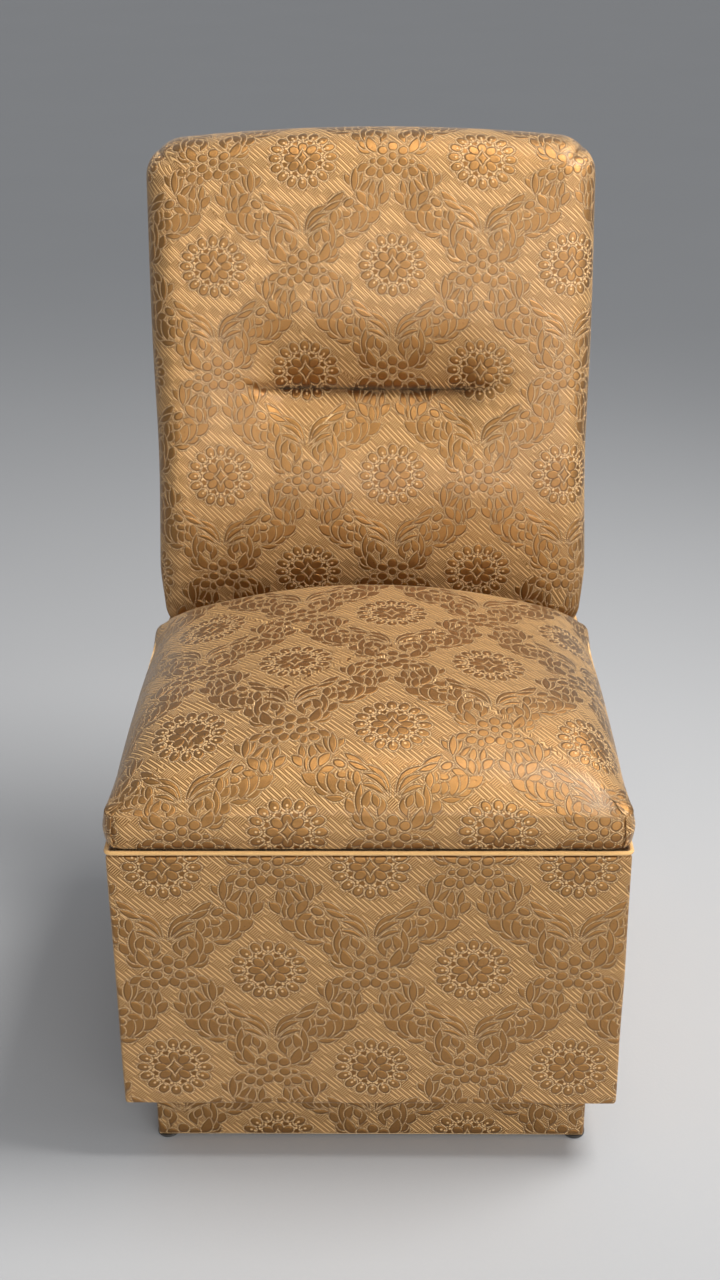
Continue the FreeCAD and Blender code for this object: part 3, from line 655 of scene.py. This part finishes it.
def swell(ob, held, pressure, frames, cap, bend=1.0, tension=30.0, mass=0.35):
    """Blows a padded cover out a little as cloth, with the held points fixed, and keeps the result as its shape."""
    rest = coords(ob)
    group = ob.vertex_groups.new(name="held")
    for i in np.flatnonzero(held > 0.001):
        group.add([int(i)], float(held[i]), "REPLACE")
    md = ob.modifiers.new("swell", "CLOTH")
    st = md.settings
    st.quality = 4
    st.mass = mass
    st.tension_stiffness = st.compression_stiffness = tension
    st.shear_stiffness = tension * 0.4
    st.bending_stiffness = bend
    st.use_pressure = True
    st.uniform_pressure_force = pressure
    st.effector_weights.gravity = 0.0
    st.vertex_group_mass = "held"
    md.collision_settings.use_collision = False
    md.collision_settings.use_self_collision = False
    for f in range(1, frames + 1):
        scene.frame_set(f)
    moved = ob.evaluated_get(bpy.context.evaluated_depsgraph_get())
    me = moved.to_mesh()
    co = np.zeros(len(me.vertices) * 3, np.float32)
    me.vertices.foreach_get("co", co)
    moved.to_mesh_clear()
    ob.modifiers.remove(md)
    ob.vertex_groups.clear()
    scene.frame_set(1)
    d = co.reshape(-1, 3) - rest
    size = np.linalg.norm(d, axis=1)
    d *= (np.minimum(size, cap) / np.maximum(size, 1e-9))[:, None]
    # even the swelling out over the cloth, so that no hard edge is left where it meets the held part
    pairs = np.zeros(len(ob.data.edges) * 2, np.int32)
    ob.data.edges.foreach_get("vertices", pairs)
    p0, p1 = pairs[0::2], pairs[1::2]
    count = np.maximum(np.bincount(pairs, minlength=len(d)), 1)
    free = 1 - np.clip(held, 0, 1)
    for _ in range(24):
        near = [np.bincount(p0, d[p1, k], len(d)) + np.bincount(p1, d[p0, k], len(d)) for k in range(3)]
        d = free[:, None] * (0.4 * d + 0.6 * np.stack(near, 1) / count[:, None])
    set_coords(ob, rest + d)
    return float(size.max())


# ---------------------------------------------------------------- box, plinth and their piping

BOX_BACK = 0.580
profile = [(0.0200, 0.0764), (0.0100, 0.0761), (0.0032, 0.0760), (0.0014, 0.0766), (0.0004, 0.0777), (0.0, 0.0793)]
profile += [(0.0, z) for z in np.linspace(0.084, 0.383, 61)]
profile += [(0.0, 0.3868), (0.0004, 0.3883), (0.0014, 0.3894), (0.0032, 0.3900), (0.0080, 0.3901), (0.0145, 0.3900), (0.0172, 0.3894), (0.0178, 0.3870)]
box_cover, around, tall = band("box_cover_cloth", 0.265, 0.0, BOX_BACK, 0.0042, profile, DAMASK, "base", 0.002, 0.2516, 0.0005, replaced=("box_cover",), slot="damask")

profile = [(0.0190, 0.0043), (0.0090, 0.0042), (0.0030, 0.0042), (0.0012, 0.0047), (0.0003, 0.0057), (0.0, 0.0072)]
profile += [(0.0, z) for z in np.linspace(0.012, 0.072, 13)]
profile += [(0.0, 0.0757)]
plinth_cover, p_around, p_tall = band("plinth_cover_cloth", 0.237, 0.035, 0.545, 0.0036, profile, DAMASK, "base", 0.002, 0.2516, 0.0003, n_x=96, n_s=102, replaced=("plinth_cover",), slot="damask")

# piping along the top edge of the box: a covered cord with a slightly uneven line
p, length, nrm = outline(0.2645, 0.0005, 0.5795, 0.0064, 132, 144, 8)
rows = []
turns = 10
for k in range(turns):
    a = 2 * math.pi * k / turns
    r = 0.0024 + 0.00012 * waves(length[:-1], np.full(len(p), 0.01 * k), 0.03, 5)
    q = p + nrm * (math.cos(a) * -r)[:, None]
    rows.append(world(q[:, 0] * (1 - 0.016 * smooth01(q[:, 1], 0.24, 0.38)), q[:, 1], 0.3939 + math.sin(a) * r))
rows.append(rows[0])
u = np.tile(length, (turns + 1, 1))
v = np.repeat((np.arange(turns + 1) * 0.0151 / turns)[:, None], len(length), 1)
welt = loft("box_top_piping", rows, v, u, WELT, "base", True, flip=True, replaced=("box_top_welt",), slot="damask")

# ---------------------------------------------------------------- seat

SEAT_HX, SEAT_S0, SEAT_S1, SEAT_LOW = 0.2652, 0.003, 0.458, 0.396
K, EXTRA = 50, 14
A, B, ring, a, b, faces, quad, M = pads_grid(K, EXTRA)
mid = (SEAT_S0 + SEAT_S1) / 2
half = (SEAT_S1 - SEAT_S0) / 2
sq_x, sq_y = np.sign(a) * np.sin(np.abs(a) * math.pi / 2) * SEAT_HX, np.sign(b) * np.sin(np.abs(b) * math.pi / 2) * half
CORNER = np.where(sq_y < 0, 0.020, 0.024)
px, py = round_corner(sq_x, sq_y, SEAT_HX, half, CORNER)
dx, df, dr = SEAT_HX - np.abs(sq_x), sq_y + half, half - sq_y
ss = sq_y + mid
dome = np.where(ss < 0.21, 0.052 * (np.maximum(0.21 - ss, 0) / 0.21) ** 2.3, 0.0060 * (np.maximum(ss - 0.21, 0) / 0.248) ** 1.3)
fall = 0.35 + 0.345 * smooth01(ss, 0.0, 0.45)
crown = 0.507 - dome - fall * sq_x ** 2
edge_z = 0.416 + 0.018 * (1 - smooth01(df, 0.0, 0.10)) + 0.022 * (1 - smooth01(dr, 0.0, 0.08))
rise = roll_edge(dx, 0.055) * roll_edge(df, 0.045) * roll_edge(dr, 0.036)
z = edge_z + (crown - edge_z) * rise
# the sides below the rolled edge, and the cloth turned under the lid
step = np.clip(ring - K, 0, EXTRA)
down = np.array([0, 0.09, 0.20, 0.32, 0.45, 0.58, 0.70, 0.81, 0.90, 0.96, 1.0, 1.0, 1.0, 1.0, 1.0])[step]
inset = np.array([0, 0, 0, 0, 0, 0, 0, 0, 0.0002, 0.0007, 0.0017, 0.0035, 0.0070, 0.0105, 0.0135])[step]
z = np.where(ring > K, edge_z + (SEAT_LOW - edge_z) * down, z)
shrink_x = np.where(ring > K, (SEAT_HX - inset) / SEAT_HX, 1.0)
shrink_y = np.where(ring > K, (half - inset) / half, 1.0)
front_wall = (ring > K) & (B < 0) & (np.abs(B) >= np.abs(A))
bulge = np.where(ring > K, 0.0022 * np.sin(math.pi * np.clip(down, 0, 1)) ** 2, 0.0) * (1 - smooth01(ss, 0.40, 0.44))
bx = np.where(np.abs(A) >= np.abs(B), np.sign(A), 0.0) * bulge
by = np.where(front_wall, -1.0, 0.0) * bulge
taper = 1 - 0.010 * smooth01(ss, 0.26, 0.455)
P = world((px * shrink_x + bx) * taper, mid + py * shrink_y + by, z)
loop_uv, seat_ax, seat_af, seat_ar = pad_uv(P, A, B, ring, K, px, py, faces, quad, 0.0, 0.0, 0.10)
bottom_ring = K + 10
loop_uv = loop_uv - np.array([0.0248 + REPEAT_U / 2, 0.1485 - seat_af[bottom_ring]])
seat = make_piece("seat_cushion", P, faces, loop_uv, DAMASK, "seat_lid", replaced=("seat_cover", "seat_foam"), slot="damask")
held = np.where(ring >= K - 14, 1.0, 0.0)
swell(seat, held.ravel(), 2.0, 12, 0.004, bend=6.0, tension=60.0)

# ---------------------------------------------------------------- back

BACK_HX, BACK_TOP, BACK_LOW, PLEAT = 0.2675, 0.603, -0.004, 0.295
K, EXTRA = 100, 12
A, B, ring, a, b, faces, quad, M = pads_grid(K, EXTRA)


def spread(t):
    return 0.30 * np.sin(t * math.pi / 2) + 0.70 * t * t * (3 - 2 * t)


up, dn = BACK_TOP - PLEAT, PLEAT - BACK_LOW
sq_x = (0.45 * np.sin(a * math.pi / 2) + 0.55 * a) * BACK_HX
sq_h = np.where(b >= 0, spread(np.abs(b)) * up, -spread(np.abs(b)) * dn)
# outline from the front: round top corners, a slightly arched top edge, a slight waist, corners drawn in at the foot
tx, th = round_corner(sq_x, np.where(sq_h > 0, sq_h, 0.0), BACK_HX, up, 0.042)
bx_, bh_ = round_corner(sq_x, np.where(sq_h < 0, sq_h, 0.0), BACK_HX, dn, 0.030)
px = np.where(sq_h >= 0, tx, bx_)
ph = np.where(sq_h >= 0, th, bh_)
h = PLEAT + ph
rel = np.abs(px) / BACK_HX
h = h - 0.009 * (px / 0.21) ** 2 * smooth01(h, 0.40, 0.60)
px = px * (1 - 0.014 * np.exp(-((h - 0.21) / 0.11) ** 2) - 0.030 * (1 - smooth01(h, 0.0, 0.075)))
dx, dt, db = BACK_HX - np.abs(sq_x), up - sq_h, sq_h + dn
hs = np.linspace(-0.03, 0.63, 331)
Ts = np.interp(hs, [-0.02, 0.03, 0.07, 0.10, 0.13, 0.16, 0.20, 0.25, 0.295, 0.345, 0.42, 0.49, 0.543, 0.62],
               [0.040, 0.056, 0.0685, 0.0768, 0.0828, 0.0866, 0.0885, 0.0885, 0.087, 0.0875, 0.0885, 0.086, 0.081, 0.072])
kern = np.hanning(31)
Ts = np.convolve(np.pad(Ts, 15, mode="edge"), kern / kern.sum(), "valid")
T0 = np.interp(h, hs, Ts)
# stitched pull-in: a sharp crease between x -0.134 and 0.143, with the cloth above swelling over it and gathers below it
d = h - PLEAT + 0.0025 * np.sin((px + 0.02) / 0.05) * 0.5
xc = px + 0.002
ends = 1 - smooth01(np.abs(xc), 0.104, 0.140)
wide = 1 - smooth01(np.abs(xc), 0.085, 0.205)
crease = np.where(d >= 0, np.exp(-np.abs(d) / 0.0120), np.exp(-np.abs(d) / 0.0200))
slit = np.where(d >= 0, np.exp(-(d / 0.0034) ** 2), np.exp(-(d / 0.0050) ** 2))
pull = (0.020 * crease + 0.009 * slit) * ends + 0.0180 * wide * np.where(d > 0, np.exp(-(d / 0.058) ** 2), np.exp(-(d / 0.062) ** 2))
lip = 0.0050 * wide * np.exp(-((d - 0.085) / 0.050) ** 2) + 0.0040 * wide * np.exp(-((d + 0.105) / 0.050) ** 2)
rng = np.random.default_rng(21)
gather = np.zeros_like(d)
for k in range(34):
    x0 = -0.142 + 0.290 * (k + rng.uniform(0.2, 0.8)) / 34
    size = rng.uniform(0.4, 1.0) * (1.8 if x0 > 0.092 else 1.0)
    lean = rng.uniform(-0.3, 0.3) + 0.9 * (x0 / 0.15) * (abs(x0) > 0.1)
    wdt = rng.uniform(0.0024, 0.0038)
    run = rng.uniform(0.006, 0.013)
    gather += size * np.exp(-((px - x0 + lean * d) / wdt) ** 2) * np.where(d < 0, np.exp(d / run), np.exp(-d / 0.004))
fan = ends + 0.55 * (1 - smooth01(np.abs(np.abs(xc) - 0.137), 0.0, 0.030))
pull = pull + 0.0034 * gather * np.clip(fan, 0, 1)
# creases running out from the two ends of the stitched line
for x0, sgn in ((-0.132, -1), (0.130, 1)):
    for ang, ln, amp in ((0.25, 0.045, 0.0022), (-0.35, 0.036, 0.0022), (-0.05, 0.055, 0.0026)):
        along = (px - x0) * sgn
        off = d - ang * along
        pull = pull + amp * smooth01(along, -0.012, 0.004) * np.exp(-np.maximum(along, 0) / ln) * np.exp(-(off / (0.0045 + 0.10 * np.maximum(along, 0))) ** 2)
top_r = roll_edge(dt, 0.055)
low_r = roll_edge(db, 0.030)
side_r = roll_edge(dx, 0.036)
edge_t = np.minimum(0.014 + 0.038 * top_r, 0.032 + 0.020 * low_r)
step = np.clip(ring - K, 0, EXTRA)
to_rear = np.array([0, 0.10, 0.21, 0.33, 0.45, 0.57, 0.69, 0.80, 0.90, 0.97, 1.0, 1.0, 1.0])[step]
inset = np.array([0, 0, 0, 0, 0, 0, 0, 0.0002, 0.0006, 0.0014, 0.0028, 0.0056, 0.0090])[step]


def back_points(face_t, slack, fold=0.0):
    t = edge_t + (face_t - edge_t) * top_r * side_r * low_r
    t = t + slack * waves(px, h, 0.11, 3) * smooth01(np.minimum(dx, dt), 0.0, 0.05)
    t = np.where(ring > K, edge_t + (0.0012 - edge_t) * to_rear, t)
    x2 = np.where(ring > K, px * (BACK_HX - inset) / BACK_HX, px)
    h2 = np.where(ring > K, 0.30 + (h - 0.30) * (0.30 - inset) / 0.30, h)
    # small folded nick at one top corner
    nick = np.exp(-((x2 + 0.236) / 0.006) ** 2) * smooth01(h2, 0.545, 0.585) * (ring > K - 36)
    t = t - 3.0 * slack * nick * (t > 0.02)
    # the cloth above the crease hangs a little over it
    h2 = h2 - fold
    # the foot is level, not square to the recline
    h2 = h2 - 0.194 * t * (1 - smooth01(h2, -0.004, 0.060))
    return reclined(x2, t, h2)


P = back_points(T0 - pull + lip, 0.0010, 0.0055 * ends * np.where(d >= 0, np.exp(-np.abs(d) / 0.010), np.exp(-(d / 0.0016) ** 2)))
loop_uv, back_ax, back_af, back_ar = pad_uv(back_points(T0, 0.0), A, B, ring, K, px, h - PLEAT, faces, quad, 0.026 + REPEAT_U / 2, 0.148, 0.14)
back = make_piece("inside_back_cushion", P, faces, loop_uv, DAMASK, "base", replaced=("inside_back_cover", "back_foam", "back_pleat_stay"), slot="damask")
held = np.where(ring >= K + 2, 1.0, 0.0)
held = np.maximum(held, np.exp(-(d / 0.010) ** 2) * ends)
swell(back, held.ravel(), 2.0, 12, 0.004, bend=3.0, tension=60.0)

# outside back: a covered panel let into the rear of the back, its edge slip-stitched to the inside cover
K, EXTRA = 34, 4
A, B, ring, a, b, faces, quad, M = pads_grid(K, EXTRA)
PAN_X, PAN_TOP, PAN_LOW = 0.2605, 0.585, -0.003
mid_h, half_h = (PAN_TOP + PAN_LOW) / 2, (PAN_TOP - PAN_LOW) / 2
sq_x, sq_h = np.sin(a * math.pi / 2) * PAN_X, np.sin(b * math.pi / 2) * half_h
px, ph = round_corner(sq_x, sq_h, PAN_X, half_h, np.where(sq_h > 0, 0.034, 0.004))
h = mid_h + ph
dd = np.minimum(PAN_X - np.abs(sq_x), half_h - np.abs(sq_h))
stitch = np.sin(2 * math.pi * (px + h) / 0.014)
t = -0.0004 - 0.0012 * roll_edge(dd, 0.012) + 0.00035 * waves(px, h, 0.14, 8) + 0.0004 * stitch * np.exp(-(dd / 0.004) ** 2)
step = np.clip(ring - K, 0, EXTRA)
t = np.where(ring > K, -0.0004 + np.array([0, 0.0006, 0.0012, 0.0018, 0.0024])[step], t)
px2 = px * (PAN_X - np.array([0, 0.0002, 0.0005, 0.0009, 0.0014])[step]) / PAN_X
P = reclined(-px2, t, h)
loop_uv, *_ = pad_uv(P, A, B, ring, K, px, ph, faces, quad, REPEAT_U / 2, 0.150, 0.05)
outside_back = make_piece("outside_back_cloth", P, faces, loop_uv, DAMASK, "base", replaced=("outside_back_panel",), slot="damask")

# ---------------------------------------------------------------- hinge rail, deck and linings


def strip(name, path, hx, nx, mat, body, u0, v0, wave, slot, flip=False, replaced=(), x0=0.0):
    """Cloth pulled over a long edge: path is (s, z) across it, run along x about x0."""
    path = np.array(path)
    run = np.concatenate([[0], np.cumsum(np.linalg.norm(np.diff(path, axis=0), axis=1))])
    xs = x0 + np.linspace(-hx, hx, nx)
    rows, us, vs = [], [], []
    for k, (s, z) in enumerate(path):
        w = wave * waves(xs, np.full(nx, run[k] * 2), 0.07, 17)
        rows.append(world(xs, np.full(nx, s), z + w))
        us.append(xs - u0)
        vs.append(np.full(nx, run[k] - v0))
    return loft(name, rows, np.array(us), np.array(vs), mat, body, False, flip=flip, replaced=replaced, slot=slot), float(run[-1])


def fillet(points, r, n=5):
    """Polyline with its inner corners rounded."""
    pts = [np.array(p, float) for p in points]
    out = [pts[0]]
    for i in range(1, len(pts) - 1):
        p, q, w = pts[i - 1], pts[i], pts[i + 1]
        a_, c_ = (p - q) / np.linalg.norm(p - q), (w - q) / np.linalg.norm(w - q)
        for k in range(n + 1):
            f = k / n
            out.append((1 - f) ** 2 * (q + a_ * r) + 2 * f * (1 - f) * q + f * f * (q + c_ * r))
    out.append(pts[-1])
    return out


rail_cloth, run = strip("hinge_rail_cloth", fillet([(0.4676, 0.3885), (0.4676, 0.4309), (0.4899, 0.4309), (0.4899, 0.3896)], 0.0030), 0.2468, 100, DAMASK, "base", 0.0248, 0.0, 0.0002, "damask", flip=False, replaced=("hinge_rail_cover",))
# the turned-in ends of that cover
for side, label in ((-1, "left"), (1, "right")):
    end_s, end_z = np.linspace(0.4678, 0.4897, 10), np.linspace(0.3904, 0.4306, 16)
    rows = [world(np.full(10, side * 0.2476), end_s, np.full(10, z)) for z in end_z]
    rail_end = loft("hinge_rail_end_" + label, rows, np.tile(end_s, (16, 1)), np.repeat(end_z[:, None], 10, 1), DAMASK, "base", False, flip=side < 0, slot="damask")
deck_cloth, run = strip("rear_deck_cloth", [(s, 0.3896 - 0.0006 * math.sin((s - 0.490) / 0.072 * math.pi)) for s in np.linspace(0.4902, 0.5618, 25)], 0.2178, 88, DAMASK, "base", 0.0248, 0.1, 0.00025, "damask", flip=False, replaced=("rear_deck_cover",))
# the ends of the deck in front of the back's stiles
for side, label in ((-1, "left"), (1, "right")):
    deck_end, run = strip("rear_deck_end_" + label, [(s, 0.3896 - 0.0006 * math.sin((s - 0.490) / 0.072 * math.pi)) for s in np.linspace(0.4902, 0.5164, 10)], 0.0143, 12, DAMASK, "base", 0.0248, 0.1, 0.0001, "damask", x0=side * 0.2321)


def panel_grid(origin, along, up, nu, nv, wave, seed, normal):
    """Flat cloth panel with slight waviness: origin, two edge vectors and the side it faces."""
    fu, fv = np.meshgrid(np.linspace(0, 1, nu), np.linspace(0, 1, nv), indexing="xy")
    lu, lv = np.linalg.norm(along), np.linalg.norm(up)
    hold = (np.minimum(fu, 1 - fu) * lu).clip(0, 0.03) / 0.03 * ((np.minimum(fv, 1 - fv) * lv).clip(0, 0.03) / 0.03)
    w = wave * (waves(fu * lu, fv * lv, 0.12, seed) * 0.5 + 0.5) * hold
    P = np.array(origin) + fu[..., None] * np.array(along) + fv[..., None] * np.array(up) + w[..., None] * np.array(normal)
    return P, fu * lu, fv * lv


def joined_panels(name, panels, mat, body, replaced, slot):
    verts, faces, uvs, base = [], [], [], 0
    for P, u, v, flip in panels:
        m, n = P.shape[:2]
        i, j = np.meshgrid(np.arange(m - 1), np.arange(n - 1), indexing="ij")
        f = np.stack([i * n + j, i * n + j + 1, (i + 1) * n + j + 1, (i + 1) * n + j], -1).reshape(-1, 4)
        uv = np.stack([u, v], -1).reshape(-1, 2)[f]
        if flip:
            f, uv = f[:, ::-1], uv[:, ::-1]
        verts.append(P.reshape(-1, 3))
        faces.append(f + base)
        uvs.append(uv)
        base += m * n
    return make_piece(name, np.concatenate(verts), np.concatenate(faces), np.concatenate(uvs), mat, body, replaced=replaced, slot=slot)


def w3(x, s, z):
    return np.array([x, s + FRONT_Y, z])


IN_X, IN_F, IN_R, IN_LOW, IN_TOP, POST = 0.247, 0.018, 0.562, 0.087, 0.386, 0.025
panels = []
for org, al, upv, nu, nv, seed, nor in (
    (w3(-IN_X + POST, IN_F + 0.0011, IN_LOW + 0.0012), (2 * (IN_X - POST), 0, 0), (0, 0, IN_TOP - IN_LOW - 0.0012), 60, 40, 31, (0, 1, 0)),
    (w3(-0.219, IN_R - 0.0011, IN_LOW + 0.0012), (0.438, 0, 0), (0, 0, 0.376 - IN_LOW - 0.0012), 58, 38, 32, (0, -1, 0)),
    (w3(-IN_X + 0.0011, IN_F + POST, IN_LOW + 0.0012), (0, 0.517 - IN_F - POST, 0), (0, 0, 0.338 - IN_LOW), 64, 36, 33, (1, 0, 0)),
    (w3(IN_X - 0.0011, IN_F + POST, IN_LOW + 0.0012), (0, 0.517 - IN_F - POST, 0), (0, 0, 0.338 - IN_LOW), 64, 36, 34, (-1, 0, 0)),
    (w3(-IN_X + 0.0011, IN_F + POST, 0.338), (0, 0.468 - IN_F - POST, 0), (0, 0, IN_TOP - 0.338), 60, 8, 35, (1, 0, 0)),
    (w3(IN_X - 0.0011, IN_F + POST, 0.338), (0, 0.468 - IN_F - POST, 0), (0, 0, IN_TOP - 0.338), 60, 8, 36, (-1, 0, 0)),
    (w3(-0.2215, IN_F + 0.001, IN_LOW + 0.0011), (0.443, 0, 0), (0, IN_R - IN_F - 0.002, 0), 58, 70, 37, (0, 0, 1)),
    (w3(-IN_X + 0.001, IN_F + POST, IN_LOW + 0.0011), (IN_X - 0.001 - 0.2215, 0, 0), (0, 0.517 - IN_F - POST, 0), 5, 64, 38, (0, 0, 1)),
    (w3(0.2215, IN_F + POST, IN_LOW + 0.0011), (IN_X - 0.001 - 0.2215, 0, 0), (0, 0.517 - IN_F - POST, 0), 5, 64, 39, (0, 0, 1)),
):
    P, u, v = panel_grid(org, al, upv, nu, nv, 0.0016, seed, nor)
    flip = float(np.dot(np.cross(al, upv), nor)) < 0
    panels.append((P, u, v, flip))
lining = joined_panels("box_lining_cloth", panels, CALICO, "base", ("box_lining",), "lining_cloth")

P, u, v = panel_grid(w3(-0.250, 0.015, 0.3969), (0.500, 0, 0), (0, 0.4315, 0), 90, 78, 0.0, 40, (0, 0, -1))
X, S = P[..., 0], P[..., 1] - FRONT_Y
pucker = np.cos(2 * math.pi * (X + 0.220) / 0.040) * (np.exp(-((S - 0.021) / 0.016) ** 2) + np.exp(-((S - 0.4405) / 0.016) ** 2))
pucker += np.cos(2 * math.pi * (S - 0.060) / 0.042) * np.exp(-((np.abs(X) - 0.244) / 0.016) ** 2)
P[..., 2] += 0.0003 * np.clip(pucker, -1, 1) - 0.0004 * smooth01(0.25 - np.abs(X), 0.0, 0.05) * smooth01(np.minimum(S - 0.015, 0.4465 - S), 0.0, 0.05)
under = joined_panels("lid_under_cloth", [(P, u, v, True)], CALICO, "seat_lid", ("lid_under_lining",), "lining_cloth")

# ---------------------------------------------------------------- folded pleats at the front corners of the seat

tree = BVHTree.FromPolygons([Vector(c) for c in coords(seat)], [tuple(f.vertices) for f in seat.data.polygons])
for side, name in ((-1, "left"), (1, "right")):
    nu, nv = 26, 22
    rows, us, vs = [], [], []
    path = []
    fold_x, r = SEAT_HX - 0.0095, 0.020
    for k in range(nu):
        f = k / (nu - 1) * 0.042
        straight = max(0.0, (SEAT_HX - r) - fold_x)
        # plan path: along the front to the corner, round it, then back along the side
        ang0 = math.asin(min(1.0, (fold_x - (SEAT_HX - r)) / r)) if fold_x > SEAT_HX - r else 0.0
        ang = ang0 + f / r
        if ang <= math.pi / 2:
            q = (SEAT_HX - r + r * math.sin(ang), SEAT_S0 + r - r * math.cos(ang), math.sin(ang), -math.cos(ang))
        else:
            q = (SEAT_HX, SEAT_S0 + r + (ang - math.pi / 2) * r, 1.0, 0.0)
        path.append((f, q))
    for i in range(nv):
        g = i / (nv - 1)
        row, urow, vrow = [], [], []
        for f, (x, s, ox, os_) in path:
            top = 0.4520 - 0.030 * (f / 0.042) ** 1.3
            zz = 0.3966 + g * (top - 0.3966)
            start = Vector((side * (x + ox * 0.05), s + os_ * 0.05 + FRONT_Y, zz))
            hit, nor, _, _ = tree.ray_cast(start, Vector((-side * ox, -os_, 0.0)), 0.12)
            if hit is None:
                hit, nor, _, _ = tree.find_nearest(Vector((side * x, s + FRONT_Y, zz)))
            lift = 0.0013 * (1 - g ** 3) * (1 - (f / 0.042) ** 4) + 0.0002
            q = hit + nor * lift
            row.append(q[:])
            urow.append(side * (0.030 + f) + 0.4)
            vrow.append(zz)
        rows.append(row)
        us.append(urow)
        vs.append(vrow)
    rows = np.array(rows)
    # the folded edge turns in on the seat
    first = rows[:, 0] + (rows[:, 0] - rows[:, 1]) * 0.15
    inward = np.array([0.0, 1.0, 0.0]) * 0.0016
    rows = np.concatenate([(first + inward)[:, None], rows], 1)
    us = np.concatenate([np.array(us)[:, :1] - 0.0015 * side, np.array(us)], 1)
    vs = np.concatenate([np.array(vs)[:, :1], np.array(vs)], 1)
    fold = loft("seat_corner_fold_" + name, rows, us, vs, DAMASK, "seat_lid", False, flip=side < 0, slot="damask")

# ---------------------------------------------------------------- ride, stage, light and camera

for ob in [o for o in scene.objects if "to_body" in o]:
    body = ob["to_body"]
    del ob["to_body"]
    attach(ob, body)

n = Net("pale_floor")
place = n.place()
grain = n.noise(place, 260.0, 3.0, 0.6)
cloudy = n.noise(place, 1.6, 3.0)
n.set("Base Color", n.scaled(rgb(168, 169, 171), n.math("ADD", n.math("MULTIPLY_ADD", grain, 0.05, 0.96), n.math("MULTIPLY_ADD", cloudy, 0.05, -0.02))))
n.set("Roughness", n.math("MULTIPLY_ADD", grain, 0.2, 0.55))
n.bump(grain, 0.0004, 0.3)
me = bpy.data.meshes.new("floor")
g = 16.0
me.from_pydata([(-g, -g, 0), (g, -g, 0), (g, g, 0), (-g, g, 0)], [], [(0, 1, 2, 3)])
me.materials.append(n.mat)
floor = bpy.data.objects.new("floor", me)
scene.collection.objects.link(floor)
floor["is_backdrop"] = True


def area_light(name, at, aim, size, power, colour=(1, 1, 1)):
    data = bpy.data.lights.new(name, "AREA")
    data.shape = "RECTANGLE"
    data.size, data.size_y = size
    data.energy = power
    data.color = colour
    ob = bpy.data.objects.new(name, data)
    ob.location = at
    ob.rotation_euler = (Vector(aim) - Vector(at)).to_track_quat("-Z", "Y").to_euler()
    scene.collection.objects.link(ob)
    return ob


area_light("front_panel", (1.5, -4.3, 1.50), (0.0, 0.0, 1.7), (4.6, 2.9), 85.0, (1.0, 0.99, 0.97)).data.spread = math.radians(110)
area_light("overhead", (1.5, 0.0, 3.2), (0.0, 0.12, 0.6), (1.4, 1.4), 30.0, (1.0, 0.98, 0.95)).data.spread = math.radians(80)
area_light("side", (3.2, -1.2, 1.7), (0.0, 0.0, 0.7), (1.6, 2.2), 34.0, (1.0, 0.99, 0.97))
sky = bpy.data.worlds.new("studio")
sky.use_nodes = True
sky.node_tree.nodes["Background"].inputs[0].default_value = (0.95, 0.97, 1.0, 1.0)
sky.node_tree.nodes["Background"].inputs[1].default_value = 0.46
scene.world = sky
scene.view_settings.view_transform = "Standard"
scene.view_settings.look = "None"

yaw, pitch, roll = math.radians(-1.06), math.radians(25.394), math.radians(-0.552)
ahead = Vector((math.sin(yaw) * math.cos(pitch), math.cos(yaw) * math.cos(pitch), -math.sin(pitch)))
right = Vector((math.cos(yaw), -math.sin(yaw), 0.0))
upward = right.cross(ahead)
right, upward = math.cos(roll) * right + math.sin(roll) * upward, -math.sin(roll) * right + math.cos(roll) * upward
cam = bpy.data.cameras.new("camera")
cam.sensor_width = 36.0
cam.lens = 1770.0 / 1280.0 * 36.0
eye = bpy.data.objects.new("camera", cam)
eye.matrix_world = Matrix((
    (right.x, upward.x, -ahead.x, 0.0219),
    (right.y, upward.y, -ahead.y, -1.5108 + FRONT_Y),
    (right.z, upward.z, -ahead.z, 1.3482),
    (0, 0, 0, 1)))
scene.collection.objects.link(eye)
scene.camera = eye

low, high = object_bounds()
